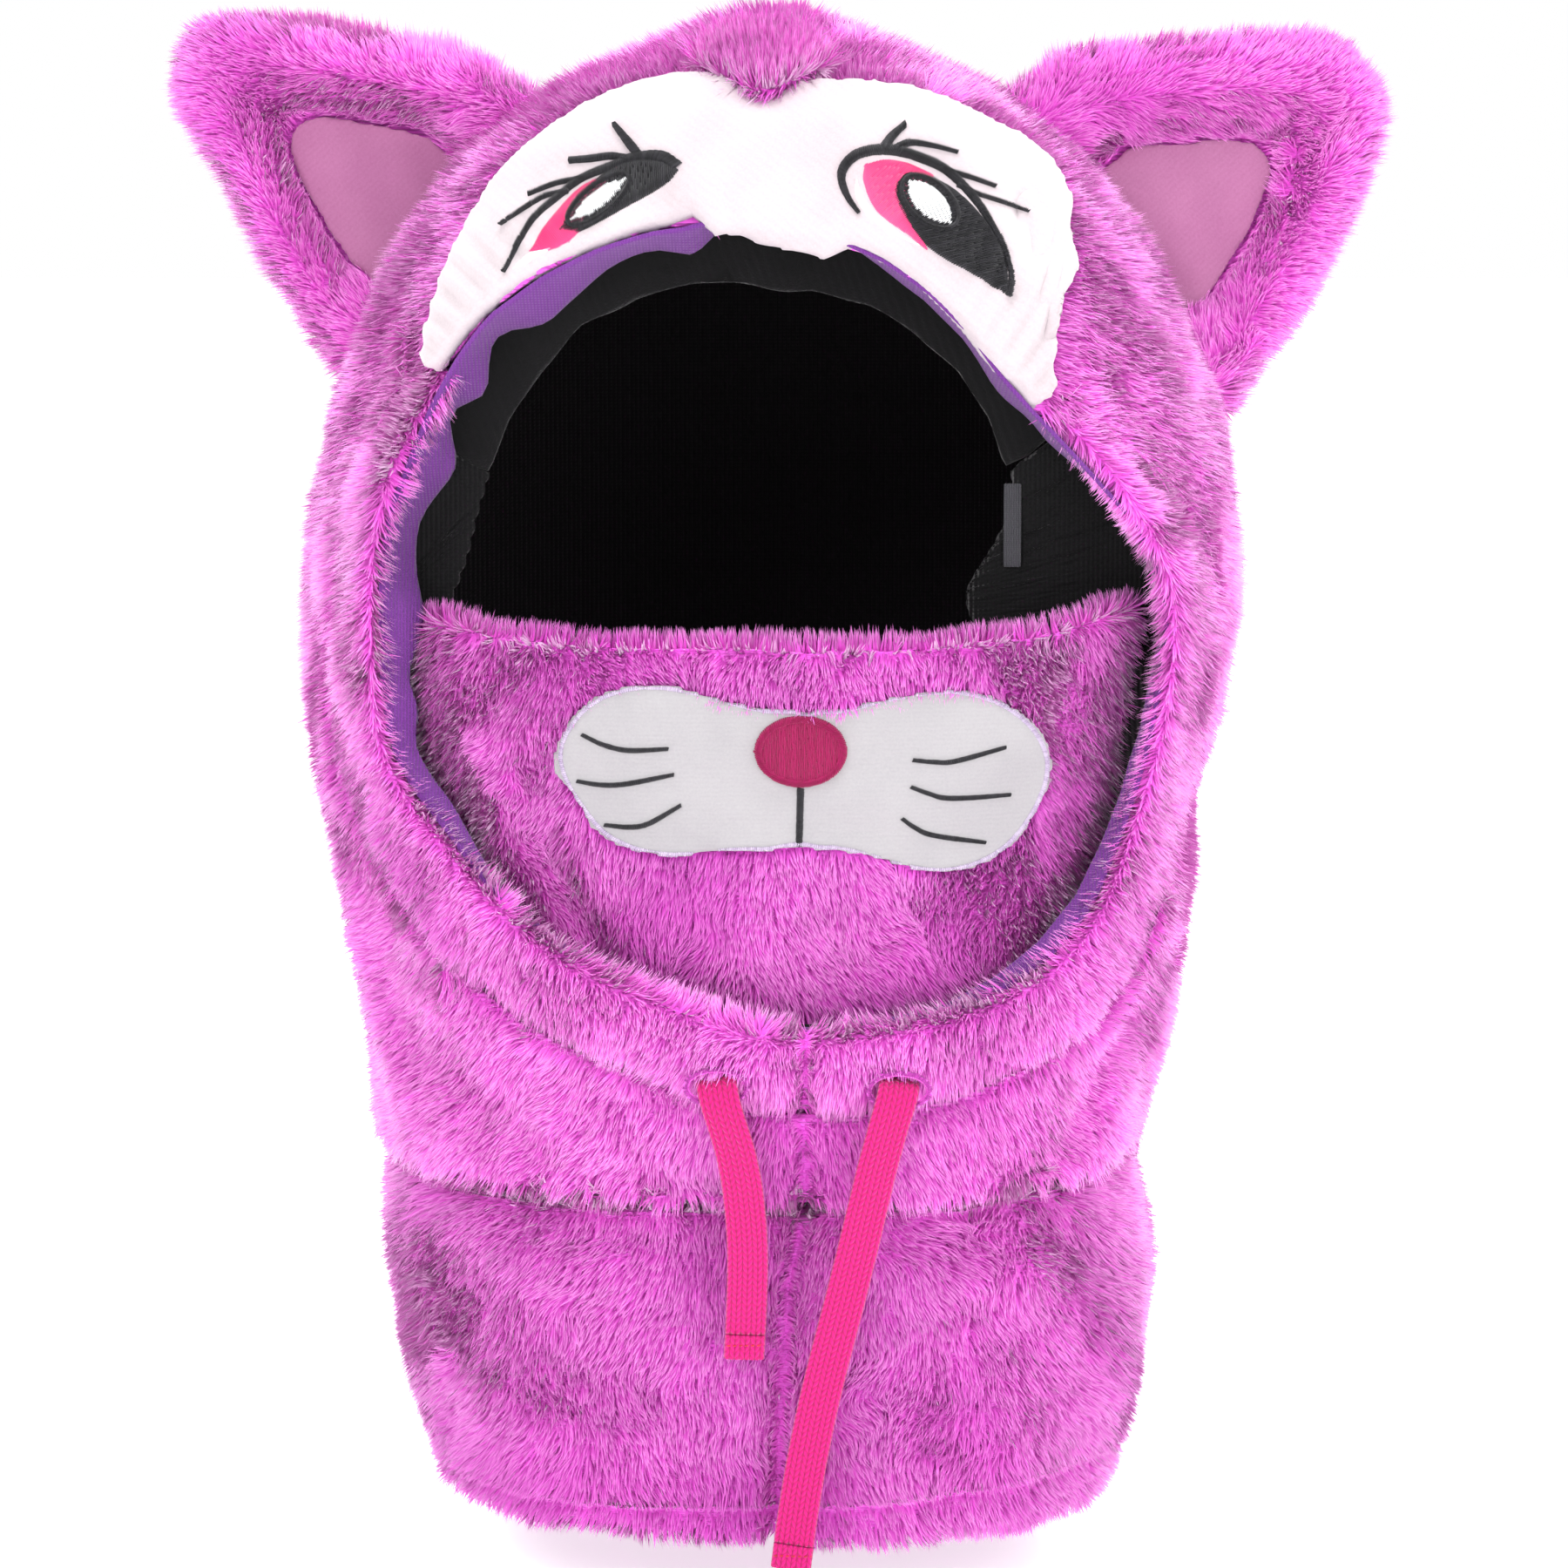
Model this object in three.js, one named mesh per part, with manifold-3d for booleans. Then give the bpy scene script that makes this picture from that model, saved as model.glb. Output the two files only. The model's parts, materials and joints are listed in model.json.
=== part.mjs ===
// A plush animal balaclava: a roomy hood with two ears, a cream eye panel and a plush face mask
// with an embroidered muzzle, a drawcord casing round the face and a straight neck tube.
// Millimetres, +Z up, the face looks along -Y, and the origin is where the crown of the head sits.
import * as THREE from 'three';
import { mergeVertices } from 'three/addons/utils/BufferGeometryUtils.js';
import Module from 'manifold-3d';

const wasm = await Module();
wasm.setup();

// Hood
const hoodHalfWidth = 137;
const hoodFrontDepth = 126;
const hoodBackDepth = 131;
const hoodHeight = 341;
const plushWall = 11;
const clothGap = 0.3;
const facetGap = 0.7;

// Neck tube
const neckHalfWidth = 113;
const neckFrontDepth = 107;
const neckBackDepth = 100;
const neckHeight = 98;
const seamRise = 16;
const hemDip = 7;

// Lining, facing and inner bands
const liningWall = 2;
const facingDepth = 22;
const facingWall = 1.2;
const bandWall = 2.4;
const bandSetback = 66;
const labelWidth = 5;
const labelHeight = 24;
const labelWall = 0.8;

// Face opening and its drawcord casing
const openingRadius = 111;
const openingDrop = 179;
const casingWidth = 26;
const casingProud = 6;

// Eye panel and its embroidery
const panelWall = 2.5;
const panelRise = 46;
const threadWall = 0.7;
const eyeLength = 46;
const glintLength = 16;
const foretuftWidth = 37;
const foretuftLength = 26;
const foretuftPile = 5;

// Ears
const earHalfBase = 53;
const earHeight = 91;
const earThickness = 29;
const earPanelWall = 1.6;

// Face mask, its muzzle patch and nose
const maskDrop = 181;
const maskHeight = 122;
const maskWall = 8;
const maskBulge = 8;
const maskGap = 1;
const muzzleHalfWidth = 76;
const muzzleHalfHeight = 28;
const muzzleDrop = 219;
const muzzleWall = 1.6;
const noseHalfWidth = 13.2;
const noseHalfHeight = 10.3;

// Drawcords and their buttonholes
const cordWidth = 11.5;
const cordThickness = 2.2;
const tabThickness = 3.2;
const holeHalfWidth = 8.6;
const holeHalfHeight = 5;
const holeRim = 1;
const holeBelowExit = 1.2;

// Shape numbers without a unit: how square a level section is, and how finely it is faceted
const squareness = 2.5;
const levelSteps = 40;
const domeRows = 11;
const rimSteps = 44;

// The crown's highest point above the origin, which is the top of the space for the head
const crownHeight = plushWall + liningWall + facetGap;
const seamHeight = crownHeight - hoodHeight;
const hemHeight = seamHeight - neckHeight;
const openingHeight = crownHeight - openingDrop;

// Level sections of the hood: drop is a share of its height, the others are shares of its half
// width, front depth and back depth
const hoodRows = [
  { drop: 0.0, left: 0.0, right: 0.0, front: 0.0, back: 0.0 },
  { drop: 0.015, left: 0.15, right: 0.15, front: 0.18, back: 0.3 },
  { drop: 0.05, left: 0.35, right: 0.35, front: 0.476, back: 0.595 },
  { drop: 0.094, left: 0.565, right: 0.562, front: 0.698, back: 0.779 },
  { drop: 0.141, left: 0.686, right: 0.686, front: 0.817, back: 0.87 },
  { drop: 0.217, left: 0.818, right: 0.818, front: 0.929, back: 0.947 },
  { drop: 0.326, left: 0.927, right: 0.949, front: 0.984, back: 0.992 },
  { drop: 0.452, left: 0.978, right: 1.0, front: 1.0, back: 1.0 },
  { drop: 0.528, left: 1.0, right: 1.0, front: 1.0, back: 0.985 },
  { drop: 0.604, left: 0.989, right: 0.956, front: 0.992, back: 0.962 },
  { drop: 0.68, left: 0.956, right: 0.905, front: 0.976, back: 0.916 },
  { drop: 0.757, left: 0.927, right: 0.89, front: 0.96, back: 0.863 },
  { drop: 0.833, left: 0.883, right: 0.869, front: 0.937, back: 0.817 },
  { drop: 0.909, left: 0.865, right: 0.825, front: 0.897, back: 0.786 },
  { drop: 1.0, left: 0.85, right: 0.79, front: 0.85, back: 0.757 },
];

// Level sections of the neck tube, from the neck seam down to the hem
const neckRows = [
  { left: 1.0, right: 0.93, front: 0.965, back: 0.965 },
  { left: 1.02, right: 0.985, front: 0.975, back: 0.99 },
  { left: 0.99, right: 0.99, front: 0.945, back: 0.98 },
  { left: 0.955, right: 0.96, front: 0.93, back: 0.965 },
  { left: 0.885, right: 0.875, front: 0.885, back: 0.935 },
];

// Folds and ridges of the plush: each runs from one place to another, turn in degrees from the
// front towards +X, drop as a share of the hood's height, with its half width and rise as shares
// of the hood's half width
const folds = [
  { turn: -62, drop: 0.9, toTurn: 0, toDrop: 0.955, spread: 0.07, rise: 0.035 },
  { turn: 0, drop: 0.955, toTurn: 48, toDrop: 0.93, spread: 0.07, rise: 0.035 },
  { turn: 66, drop: 0.8, toTurn: 44, toDrop: 0.97, spread: 0.07, rise: 0.05 },
  { turn: -80, drop: 0.5, toTurn: -66, toDrop: 0.88, spread: 0.08, rise: 0.03 },
  { turn: -64, drop: 0.34, toTurn: -60, toDrop: 0.6, spread: 0.05, rise: -0.02 },
  { turn: 74, drop: 0.36, toTurn: 70, toDrop: 0.7, spread: 0.06, rise: -0.022 },
  { turn: 100, drop: 0.6, toTurn: 88, toDrop: 0.9, spread: 0.08, rise: 0.03 },
  { turn: 150, drop: 0.8, toTurn: 200, toDrop: 0.86, spread: 0.08, rise: 0.03 },
  { turn: 118, drop: 0.92, toTurn: 168, toDrop: 0.95, spread: 0.06, rise: -0.025 },
];

// The face opening and what follows its rim, by turn in degrees clockwise from straight up as
// seen from the front. reach is the rim's share of the opening's radius, casing the share of the
// casing's width, facing how far the facing shows inside the rim as a share of the radius, depth
// the share of the facing's depth
const rimRows = [
  { turn: -180, reach: 0.985, casing: 0.95, facing: 0.01, depth: 0.3 },
  { turn: -163, reach: 0.935, casing: 0.95, facing: 0.015, depth: 0.3 },
  { turn: -143, reach: 0.95, casing: 0.95, facing: 0.02, depth: 0.3 },
  { turn: -125, reach: 0.963, casing: 0.90, facing: 0.03, depth: 0.35 },
  { turn: -108, reach: 1.02, casing: 0.70, facing: 0.05, depth: 0.3 },
  { turn: -92, reach: 1.005, casing: 0.52, facing: 0.075, depth: 0.42 },
  { turn: -75, reach: 1.025, casing: 0.50, facing: 0.08, depth: 0.9 },
  { turn: -60, reach: 1.035, casing: 0.42, facing: 0.06, depth: 1.0 },
  { turn: -42, reach: 1.08, casing: 0.20, facing: 0.05, depth: 1.0 },
  { turn: -22, reach: 1.07, casing: 0.20, facing: 0.05, depth: 1.0 },
  { turn: -8, reach: 1.05, casing: 0.20, facing: 0.03, depth: 1.0 },
  { turn: 0, reach: 1.01, casing: 0.20, facing: 0.02, depth: 1.0 },
  { turn: 14, reach: 0.995, casing: 0.20, facing: 0.02, depth: 1.0 },
  { turn: 28, reach: 0.935, casing: 0.20, facing: 0.03, depth: 1.0 },
  { turn: 44, reach: 0.865, casing: 0.20, facing: 0.035, depth: 1.0 },
  { turn: 62, reach: 0.895, casing: 0.50, facing: 0.025, depth: 1.0 },
  { turn: 80, reach: 0.995, casing: 0.62, facing: 0.02, depth: 0.8 },
  { turn: 101, reach: 1.01, casing: 0.62, facing: 0.02, depth: 0.5 },
  { turn: 118, reach: 1.035, casing: 0.70, facing: 0.03, depth: 0.35 },
  { turn: 135, reach: 1.09, casing: 0.85, facing: 0.04, depth: 0.3 },
  { turn: 150, reach: 1.06, casing: 0.95, facing: 0.03, depth: 0.3 },
  { turn: 165, reach: 1.01, casing: 1.00, facing: 0.015, depth: 0.3 },
  { turn: 180, reach: 0.985, casing: 0.95, facing: 0.01, depth: 0.3 },
];

// The casing runs under the face between these turns, and the eye panel closes the rim above
const casingFrom = -304;
const casingTo = -56;
const casingEndGap = 3;
const casingSides = 8;
const casingClear = 2.5;
const sideShare = 0.96;

// The eye panel's upper edge above the rim, as shares of its rise
const panelRows = [
  { turn: -52, low: 0.0, high: 0.14 },
  { turn: -43, low: 0.0, high: 0.34 },
  { turn: -36, low: 0.0, high: 0.5 },
  { turn: -29, low: 0.0, high: 0.68 },
  { turn: -18, low: 0.0, high: 0.84 },
  { turn: -8, low: 0.0, high: 0.9 },
  { turn: 4, low: 0.0, high: 0.92 },
  { turn: 13, low: 0.0, high: 1.0 },
  { turn: 22, low: 0.0, high: 1.06 },
  { turn: 30, low: 0.0, high: 1.12 },
  { turn: 36, low: 0.0, high: 0.98 },
  { turn: 41, low: 0.0, high: 0.62 },
  { turn: 45, low: 0.0, high: 0.32 },
  { turn: 49, low: 0.0, high: 0.14 },
];

// Where the inner bands end below the crown, as shares of the opening's radius, by turn
const bandRows = [
  { turn: -104, reach: 0.93 },
  { turn: -85, reach: 0.84 },
  { turn: -67, reach: 0.82 },
  { turn: -28, reach: 0.92 },
  { turn: 0, reach: 0.87 },
  { turn: 18, reach: 0.86 },
  { turn: 40, reach: 0.79 },
  { turn: 60, reach: 0.7 },
  { turn: 80, reach: 0.5 },
  { turn: 100, reach: 0.56 },
];

// An ear's outline beyond its base, as shares of its half base and its height
const earOutline = [
  { along: -0.96, out: -0.3 },
  { along: -1.03, out: 0.0 },
  { along: -1.06, out: 0.13 },
  { along: -0.93, out: 0.33 },
  { along: -0.77, out: 0.54 },
  { along: -0.57, out: 0.78 },
  { along: -0.36, out: 0.96 },
  { along: -0.12, out: 1.0 },
  { along: 0.1, out: 0.96 },
  { along: 0.28, out: 0.84 },
  { along: 0.5, out: 0.64 },
  { along: 0.68, out: 0.46 },
  { along: 0.88, out: 0.22 },
  { along: 1.0, out: 0.0 },
  { along: 0.96, out: -0.3 },
];

// An ear's thickness from its dished front to its back: ring is a share of the outline, depth a
// share of the ear's thickness, towards the face
const earRings = [
  { ring: 0.0, depth: 0.1 },
  { ring: 0.46, depth: 0.12 },
  { ring: 0.56, depth: 0.32 },
  { ring: 0.7, depth: 0.48 },
  { ring: 0.86, depth: 0.46 },
  { ring: 0.97, depth: 0.24 },
  { ring: 1.0, depth: 0.0 },
  { ring: 0.95, depth: -0.3 },
  { ring: 0.78, depth: -0.5 },
  { ring: 0.4, depth: -0.52 },
  { ring: 0.0, depth: -0.52 },
];
const earPanelRing = 0.44;
const earRingCentre = 0.2;

// Each ear's place: the middle of its base as shares of the hood's half width and height, its
// base's slope in degrees and its half base as a share
const ears = [
  { side: 'left', across: -0.735, drop: 0.193, slope: 57, base: 0.93, turn: -8 },
  { side: 'right', across: 0.76, drop: 0.213, slope: 59.5, base: 1.07, turn: 8 },
];

// Flat shapes on the cloth: along is a share of the length, low and high of the same length
const muzzleRows = [
  { along: -1.0, low: 0.02, high: 0.26 },
  { along: -0.93, low: -0.21, high: 0.57 },
  { along: -0.82, low: -0.6, high: 0.85 },
  { along: -0.66, low: -0.75, high: 1.0 },
  { along: -0.5, low: -0.79, high: 0.96 },
  { along: -0.25, low: -0.74, high: 0.78 },
  { along: 0.0, low: -0.72, high: 0.73 },
  { along: 0.2, low: -0.82, high: 0.79 },
  { along: 0.4, low: -0.96, high: 0.89 },
  { along: 0.55, low: -1.0, high: 0.94 },
  { along: 0.72, low: -0.92, high: 0.82 },
  { along: 0.88, low: -0.62, high: 0.55 },
  { along: 0.96, low: -0.36, high: 0.3 },
  { along: 1.0, low: -0.16, high: 0.04 },
];
const leftPupilRows = [
  { along: -0.4, low: -0.025, high: -0.01 },
  { along: -0.3, low: -0.076, high: 0.054 },
  { along: -0.13, low: -0.078, high: 0.117 },
  { along: 0.09, low: -0.089, high: 0.141 },
  { along: 0.22, low: -0.089, high: 0.156 },
  { along: 0.35, low: -0.065, high: 0.087 },
  { along: 0.41, low: -0.013, high: -0.005 },
];
const leftIrisRows = [
  { along: -0.356, low: 0.03, high: 0.05 },
  { along: -0.31, low: -0.056, high: 0.08 },
  { along: -0.228, low: -0.061, high: 0.106 },
  { along: -0.104, low: -0.11, high: 0.124 },
  { along: 0.043, low: -0.054, high: 0.117 },
  { along: 0.196, low: -0.011, high: 0.078 },
  { along: 0.352, low: 0.004, high: 0.011 },
];
const rightPupilRows = [
  { along: -0.478, low: -0.033, high: -0.01 },
  { along: -0.435, low: -0.085, high: 0.052 },
  { along: -0.348, low: -0.13, high: 0.163 },
  { along: -0.261, low: -0.139, high: 0.246 },
  { along: -0.087, low: -0.152, high: 0.248 },
  { along: 0.13, low: -0.126, high: 0.211 },
  { along: 0.304, low: -0.074, high: 0.157 },
  { along: 0.426, low: -0.033, high: 0.085 },
  { along: 0.504, low: -0.017, high: -0.009 },
];
const rightIrisRows = [
  { along: -0.322, low: -0.022, high: 0.022 },
  { along: -0.3, low: -0.065, high: 0.05 },
  { along: -0.217, low: -0.122, high: 0.146 },
  { along: -0.1, low: -0.148, high: 0.222 },
  { along: 0.043, low: -0.139, high: 0.252 },
  { along: 0.13, low: -0.13, high: 0.02 },
  { along: 0.317, low: -0.091, high: -0.083 },
];
const leftLidPath = [
  { across: -0.671, up: 0.915, width: 0.01 },
  { across: -0.606, up: 1.022, width: 0.03 },
  { across: -0.542, up: 1.09, width: 0.028 },
  { across: -0.476, up: 1.142, width: 0.028 },
  { across: -0.387, up: 1.182, width: 0.03 },
];
const rightLidPath = [
  { across: 0.216, up: 1.06, width: 0.01 },
  { across: 0.186, up: 1.108, width: 0.036 },
  { across: 0.182, up: 1.158, width: 0.04 },
  { across: 0.202, up: 1.19, width: 0.044 },
  { across: 0.252, up: 1.207, width: 0.04 },
  { across: 0.324, up: 1.205, width: 0.036 },
  { across: 0.4, up: 1.176, width: 0.032 },
];

// The eyes' pieces: the middle as shares of the opening's radius from its centre
const eyePieces = [
  { name: 'eye_iris_left', across: -0.486, up: 1.068, tilt: 42.6, layer: 0, rows: leftIrisRows, colour: 'iris' },
  { name: 'eye_pupil_left', across: -0.387, up: 1.099, tilt: 28.9, layer: 1, rows: leftPupilRows, colour: 'black' },
  { name: 'eye_iris_right', across: 0.324, up: 1.09, tilt: -46, layer: 0, rows: rightIrisRows, colour: 'iris' },
  { name: 'eye_pupil_right', across: 0.45, up: 1.009, tilt: -46, layer: 1, rows: rightPupilRows, colour: 'black' },
];
const glints = [
  { name: 'eye_glint_left', across: -0.43, up: 1.093, tilt: 36, width: 0.42 },
  { name: 'eye_glint_right', across: 0.392, up: 1.084, tilt: -42, width: 0.68 },
];
const lids = [
  { name: 'eye_lid_left', path: leftLidPath },
  { name: 'eye_lid_right', path: rightLidPath },
];

// The foretuft's V over the eye panel: along its width, low and high as shares of its length
const foretuftRows = [
  { along: -0.5, low: 0.3, high: 0.42 },
  { along: -0.36, low: 0.06, high: 0.8 },
  { along: -0.2, low: -0.28, high: 1.0 },
  { along: -0.05, low: -0.5, high: 1.06 },
  { along: 0.1, low: -0.48, high: 1.06 },
  { along: 0.24, low: -0.22, high: 1.0 },
  { along: 0.4, low: 0.08, high: 0.8 },
  { along: 0.5, low: 0.28, high: 0.4 },
];
const foretuftAcross = -3;
const foretuftHeight = -11;

// The drawcords' routes, chosen by hand: each point is the middle of the flat cord, and twist
// turns its face about the route, in degrees
const leftCordPath = [
  { x: -15.5, y: -122.0, z: -289.0, twist: 10 },
  { x: -15.0, y: -124.6, z: -291.2, twist: 12 },
  { x: -14.2, y: -125.8, z: -294.8, twist: 14 },
  { x: -12.9, y: -125.9, z: -299.0, twist: 14 },
  { x: -11.5, y: -125.4, z: -303.6, twist: 12 },
  { x: -10.2, y: -124.6, z: -308.2, twist: 10 },
  { x: -9.2, y: -123.7, z: -313.0, twist: 8 },
  { x: -8.3, y: -122.7, z: -318.2, twist: 6 },
  { x: -7.7, y: -121.6, z: -323.6, twist: 4 },
  { x: -7.2, y: -120.5, z: -329.2, twist: 2 },
  { x: -6.9, y: -119.4, z: -335.0, twist: 0 },
  { x: -6.8, y: -118.3, z: -340.8, twist: 0 },
  { x: -6.9, y: -117.2, z: -346.6, twist: 0 },
  { x: -7.1, y: -116.2, z: -352.4, twist: -2 },
  { x: -7.3, y: -115.3, z: -357.6, twist: -3 },
  { x: -7.5, y: -114.7, z: -361.4, twist: -4 },
];
const rightCordPath = [
  { x: 35.6, y: -119.8, z: -290.4, twist: -8 },
  { x: 35.1, y: -122.3, z: -292.6, twist: -10 },
  { x: 34.1, y: -123.5, z: -296.2, twist: -12 },
  { x: 32.7, y: -123.8, z: -300.8, twist: -12 },
  { x: 31.2, y: -123.5, z: -306.4, twist: -11 },
  { x: 29.5, y: -122.8, z: -312.8, twist: -10 },
  { x: 27.8, y: -121.8, z: -320.2, twist: -9 },
  { x: 26.0, y: -120.6, z: -328.0, twist: -7 },
  { x: 24.2, y: -119.4, z: -336.0, twist: -5 },
  { x: 22.3, y: -118.1, z: -344.0, twist: -4 },
  { x: 20.4, y: -116.9, z: -352.0, twist: -3 },
  { x: 18.4, y: -115.7, z: -360.0, twist: -2 },
  { x: 16.4, y: -114.5, z: -368.0, twist: 0 },
  { x: 14.5, y: -113.4, z: -376.0, twist: 0 },
  { x: 12.7, y: -112.4, z: -384.0, twist: 0 },
  { x: 11.1, y: -111.5, z: -392.0, twist: 0 },
  { x: 9.6, y: -110.7, z: -400.0, twist: 0 },
  { x: 8.3, y: -109.9, z: -408.0, twist: 2 },
  { x: 7.1, y: -109.2, z: -416.0, twist: 4 },
  { x: 6.2, y: -108.7, z: -423.0, twist: 6 },
];
const cordTabLength = 7;
const cords = [
  { side: 'left', path: leftCordPath },
  { side: 'right', path: rightCordPath },
];

// Colours and finishes
const finishes = {
  plush: { color: '#d750c8', roughness: 0.95, metalness: 0 },
  plushDark: { color: '#b93cae', roughness: 0.95, metalness: 0 },
  cream: { color: '#f5e8eb', roughness: 0.9, metalness: 0 },
  white: { color: '#ebebee', roughness: 0.9, metalness: 0 },
  lilac: { color: '#c882b4', roughness: 0.9, metalness: 0 },
  purple: { color: '#914bb4', roughness: 0.85, metalness: 0 },
  black: { color: '#1a1a1c', roughness: 0.95, metalness: 0 },
  iris: { color: '#f0418c', roughness: 0.6, metalness: 0 },
  nose: { color: '#cd0069', roughness: 0.6, metalness: 0 },
  cord: { color: '#fa1991', roughness: 0.8, metalness: 0 },
};

const group = new THREE.Group();
const radians = THREE.MathUtils.degToRad;

// Reads a column of a table at a place between its rows, on a smooth curve through them
function smooth(rows, column, place) {
  const last = rows.length - 1;
  const at = THREE.MathUtils.clamp(place, 0, last);
  const i = Math.min(Math.floor(at), last - 1);
  const t = at - i;
  const value = (k) => rows[THREE.MathUtils.clamp(k, 0, last)][column];
  const [a, b, c, d] = [value(i - 1), value(i), value(i + 1), value(i + 2)];
  const bend = 0.5 * t * (c - a + t * (2 * a - 5 * b + 4 * c - d + t * (3 * (b - c) + d - a)));
  return b + bend;
}

// The place in a table where a rising or falling column reaches a value
function placeOf(rows, column, value) {
  const rising = rows[rows.length - 1][column] > rows[0][column];
  let low = 0;
  let high = rows.length - 1;
  for (let step = 0; step < 30; step += 1) {
    const middle = (low + high) / 2;
    const below = smooth(rows, column, middle) < value;
    if (below === rising) low = middle;
    else high = middle;
  }
  return (low + high) / 2;
}

// A column of a table by turn in degrees
const byTurn = (rows, column, turn) => smooth(rows, column, placeOf(rows, 'turn', turn));

// A point of a level section that is squarer than an ellipse, turn in radians from the front
function levelPoint(size, turn, height) {
  const side = Math.sin(turn);
  const face = Math.cos(turn);
  const halfWidth = side < 0 ? size.left : size.right;
  const depth = face < 0 ? size.back : size.front;
  const power = 2 / squareness;
  const x = halfWidth * Math.sign(side) * Math.abs(side) ** power;
  const y = -depth * Math.sign(face) * Math.abs(face) ** power;
  return new THREE.Vector3(x, y, height);
}

// The outward normal of a surface given as point(turn, place)
function normalOf(point, turn, place) {
  const step = 0.02;
  const around = point(turn + step, place).sub(point(turn - step, place));
  const down = point(turn, place + step).sub(point(turn, Math.max(place - step, 0)));
  const normal = down.cross(around);
  return normal.lengthSq() < 1e-9 ? new THREE.Vector3(0, 0, 1) : normal.normalize();
}

// Distance of a place on the hood from a fold's line, laid flat, and the fold's rise there
function foldRise(turn, drop) {
  let rise = 0;
  for (const fold of folds) {
    const wrapped = turn < fold.turn - 180 ? turn + 360 : turn;
    const flat = (degrees, share) => new THREE.Vector2(radians(degrees) * hoodHalfWidth, share * hoodHeight);
    const here = flat(wrapped, drop);
    const from = flat(fold.turn, fold.drop);
    const along = flat(fold.toTurn, fold.toDrop).sub(from);
    const share = THREE.MathUtils.clamp(here.clone().sub(from).dot(along) / along.lengthSq(), 0, 1);
    const off = here.distanceTo(from.add(along.multiplyScalar(share))) / (fold.spread * hoodHalfWidth);
    rise += fold.rise * hoodHalfWidth * Math.exp(-off * off);
  }
  return rise;
}

// The hood's outer surface before folds, by turn in radians and place in hoodRows
function hoodBase(turn, place) {
  const size = {
    left: smooth(hoodRows, 'left', place) * hoodHalfWidth,
    right: smooth(hoodRows, 'right', place) * hoodHalfWidth,
    front: smooth(hoodRows, 'front', place) * hoodFrontDepth,
    back: smooth(hoodRows, 'back', place) * hoodBackDepth,
  };
  return levelPoint(size, turn, crownHeight - smooth(hoodRows, 'drop', place) * hoodHeight);
}

// The hood's surface lifted outwards along its normal
function hoodPoint(turn, place, lift) {
  const base = hoodBase(turn, place);
  const normal = place < 0.02 ? new THREE.Vector3(0, 0, 1) : normalOf(hoodBase, turn, place);
  return base.addScaledVector(normal, lift);
}

// The place in hoodRows of a height, and the hood's half width there on the side of x
const frontPlace = (z) => Math.max(placeOf(hoodRows, 'drop', (crownHeight - z) / hoodHeight), 0.05);
const halfAt = (x, place) => smooth(hoodRows, x < 0 ? 'left' : 'right', place) * hoodHalfWidth;

// A point on the front of the hood straight behind (x, z), lifted along the normal
function frontPoint(x, z, lift) {
  const place = frontPlace(z);
  const share = Math.min(Math.abs(x) / halfAt(x, place), 0.995);
  const turn = Math.sign(x) * Math.asin(share ** (squareness / 2));
  return hoodPoint(turn, place, lift);
}

// A point on the front of the hood by its turn and reach round the middle of the opening
function rimPlace(turn, reach) {
  const angle = radians(turn);
  return new THREE.Vector2(Math.sin(angle) * reach, openingHeight + Math.cos(angle) * reach);
}

const rimTurn = (i) => -180 + (360 * i) / rimSteps;
const wrapTurn = (turn) => (turn < -180 ? turn + 360 : turn);
const rimReach = (turn) => byTurn(rimRows, 'reach', wrapTurn(turn)) * openingRadius;

// The casing's width, kept off the hood's sides, where the cloth runs straight back
function casingReach(turn) {
  const width = byTurn(rimRows, 'casing', wrapTurn(turn)) * casingWidth;
  const outer = rimPlace(turn, rimReach(turn) + width);
  const beyond = Math.abs(outer.x) - sideShare * halfAt(outer.x, frontPlace(outer.y));
  return beyond > 0 ? width - beyond / Math.abs(Math.sin(radians(turn))) : width;
}

// The seam between hood and neck, higher at the sides and the back than under the chin
const seamAt = (turn) => seamHeight + seamRise * Math.sin(turn / 2) ** 2;
const hemAt = (turn) => hemHeight + hemDip * (0.5 - 0.5 * Math.cos(turn) - 0.25 * Math.sin(2 * turn));

// Builds a mesh's geometry by sweeping closed sections along stations, with its ends closed
function sweep(stations, section, closed) {
  const loops = [];
  for (let i = 0; i < stations; i += 1) loops.push(section(i));
  const around = loops[0].length;
  const points = loops.flat();
  const faces = [];
  const last = closed ? stations : stations - 1;
  for (let i = 0; i < last; i += 1) {
    const from = i * around;
    const to = ((i + 1) % stations) * around;
    for (let j = 0; j < around; j += 1) {
      const k = (j + 1) % around;
      faces.push([from + j, from + k, to + k], [from + j, to + k, to + j]);
    }
  }
  if (!closed) {
    closeEnd(points, faces, 0, around, true);
    closeEnd(points, faces, (stations - 1) * around, around, false);
  }
  return closedGeometry(points, faces);
}

// Closes one end of a sweep with a zigzag of triangles between the two halves of its section
function closeEnd(points, faces, start, around, first) {
  let low = 0;
  let high = around - 1;
  while (high - low > 1) {
    const next = (low + high) % 2 === (around - 1) % 2 ? low + 1 : high - 1;
    const face = [start + low, start + next, start + high];
    faces.push(first ? face.reverse() : face);
    if (next === low + 1) low = next;
    else high = next;
  }
}

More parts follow.
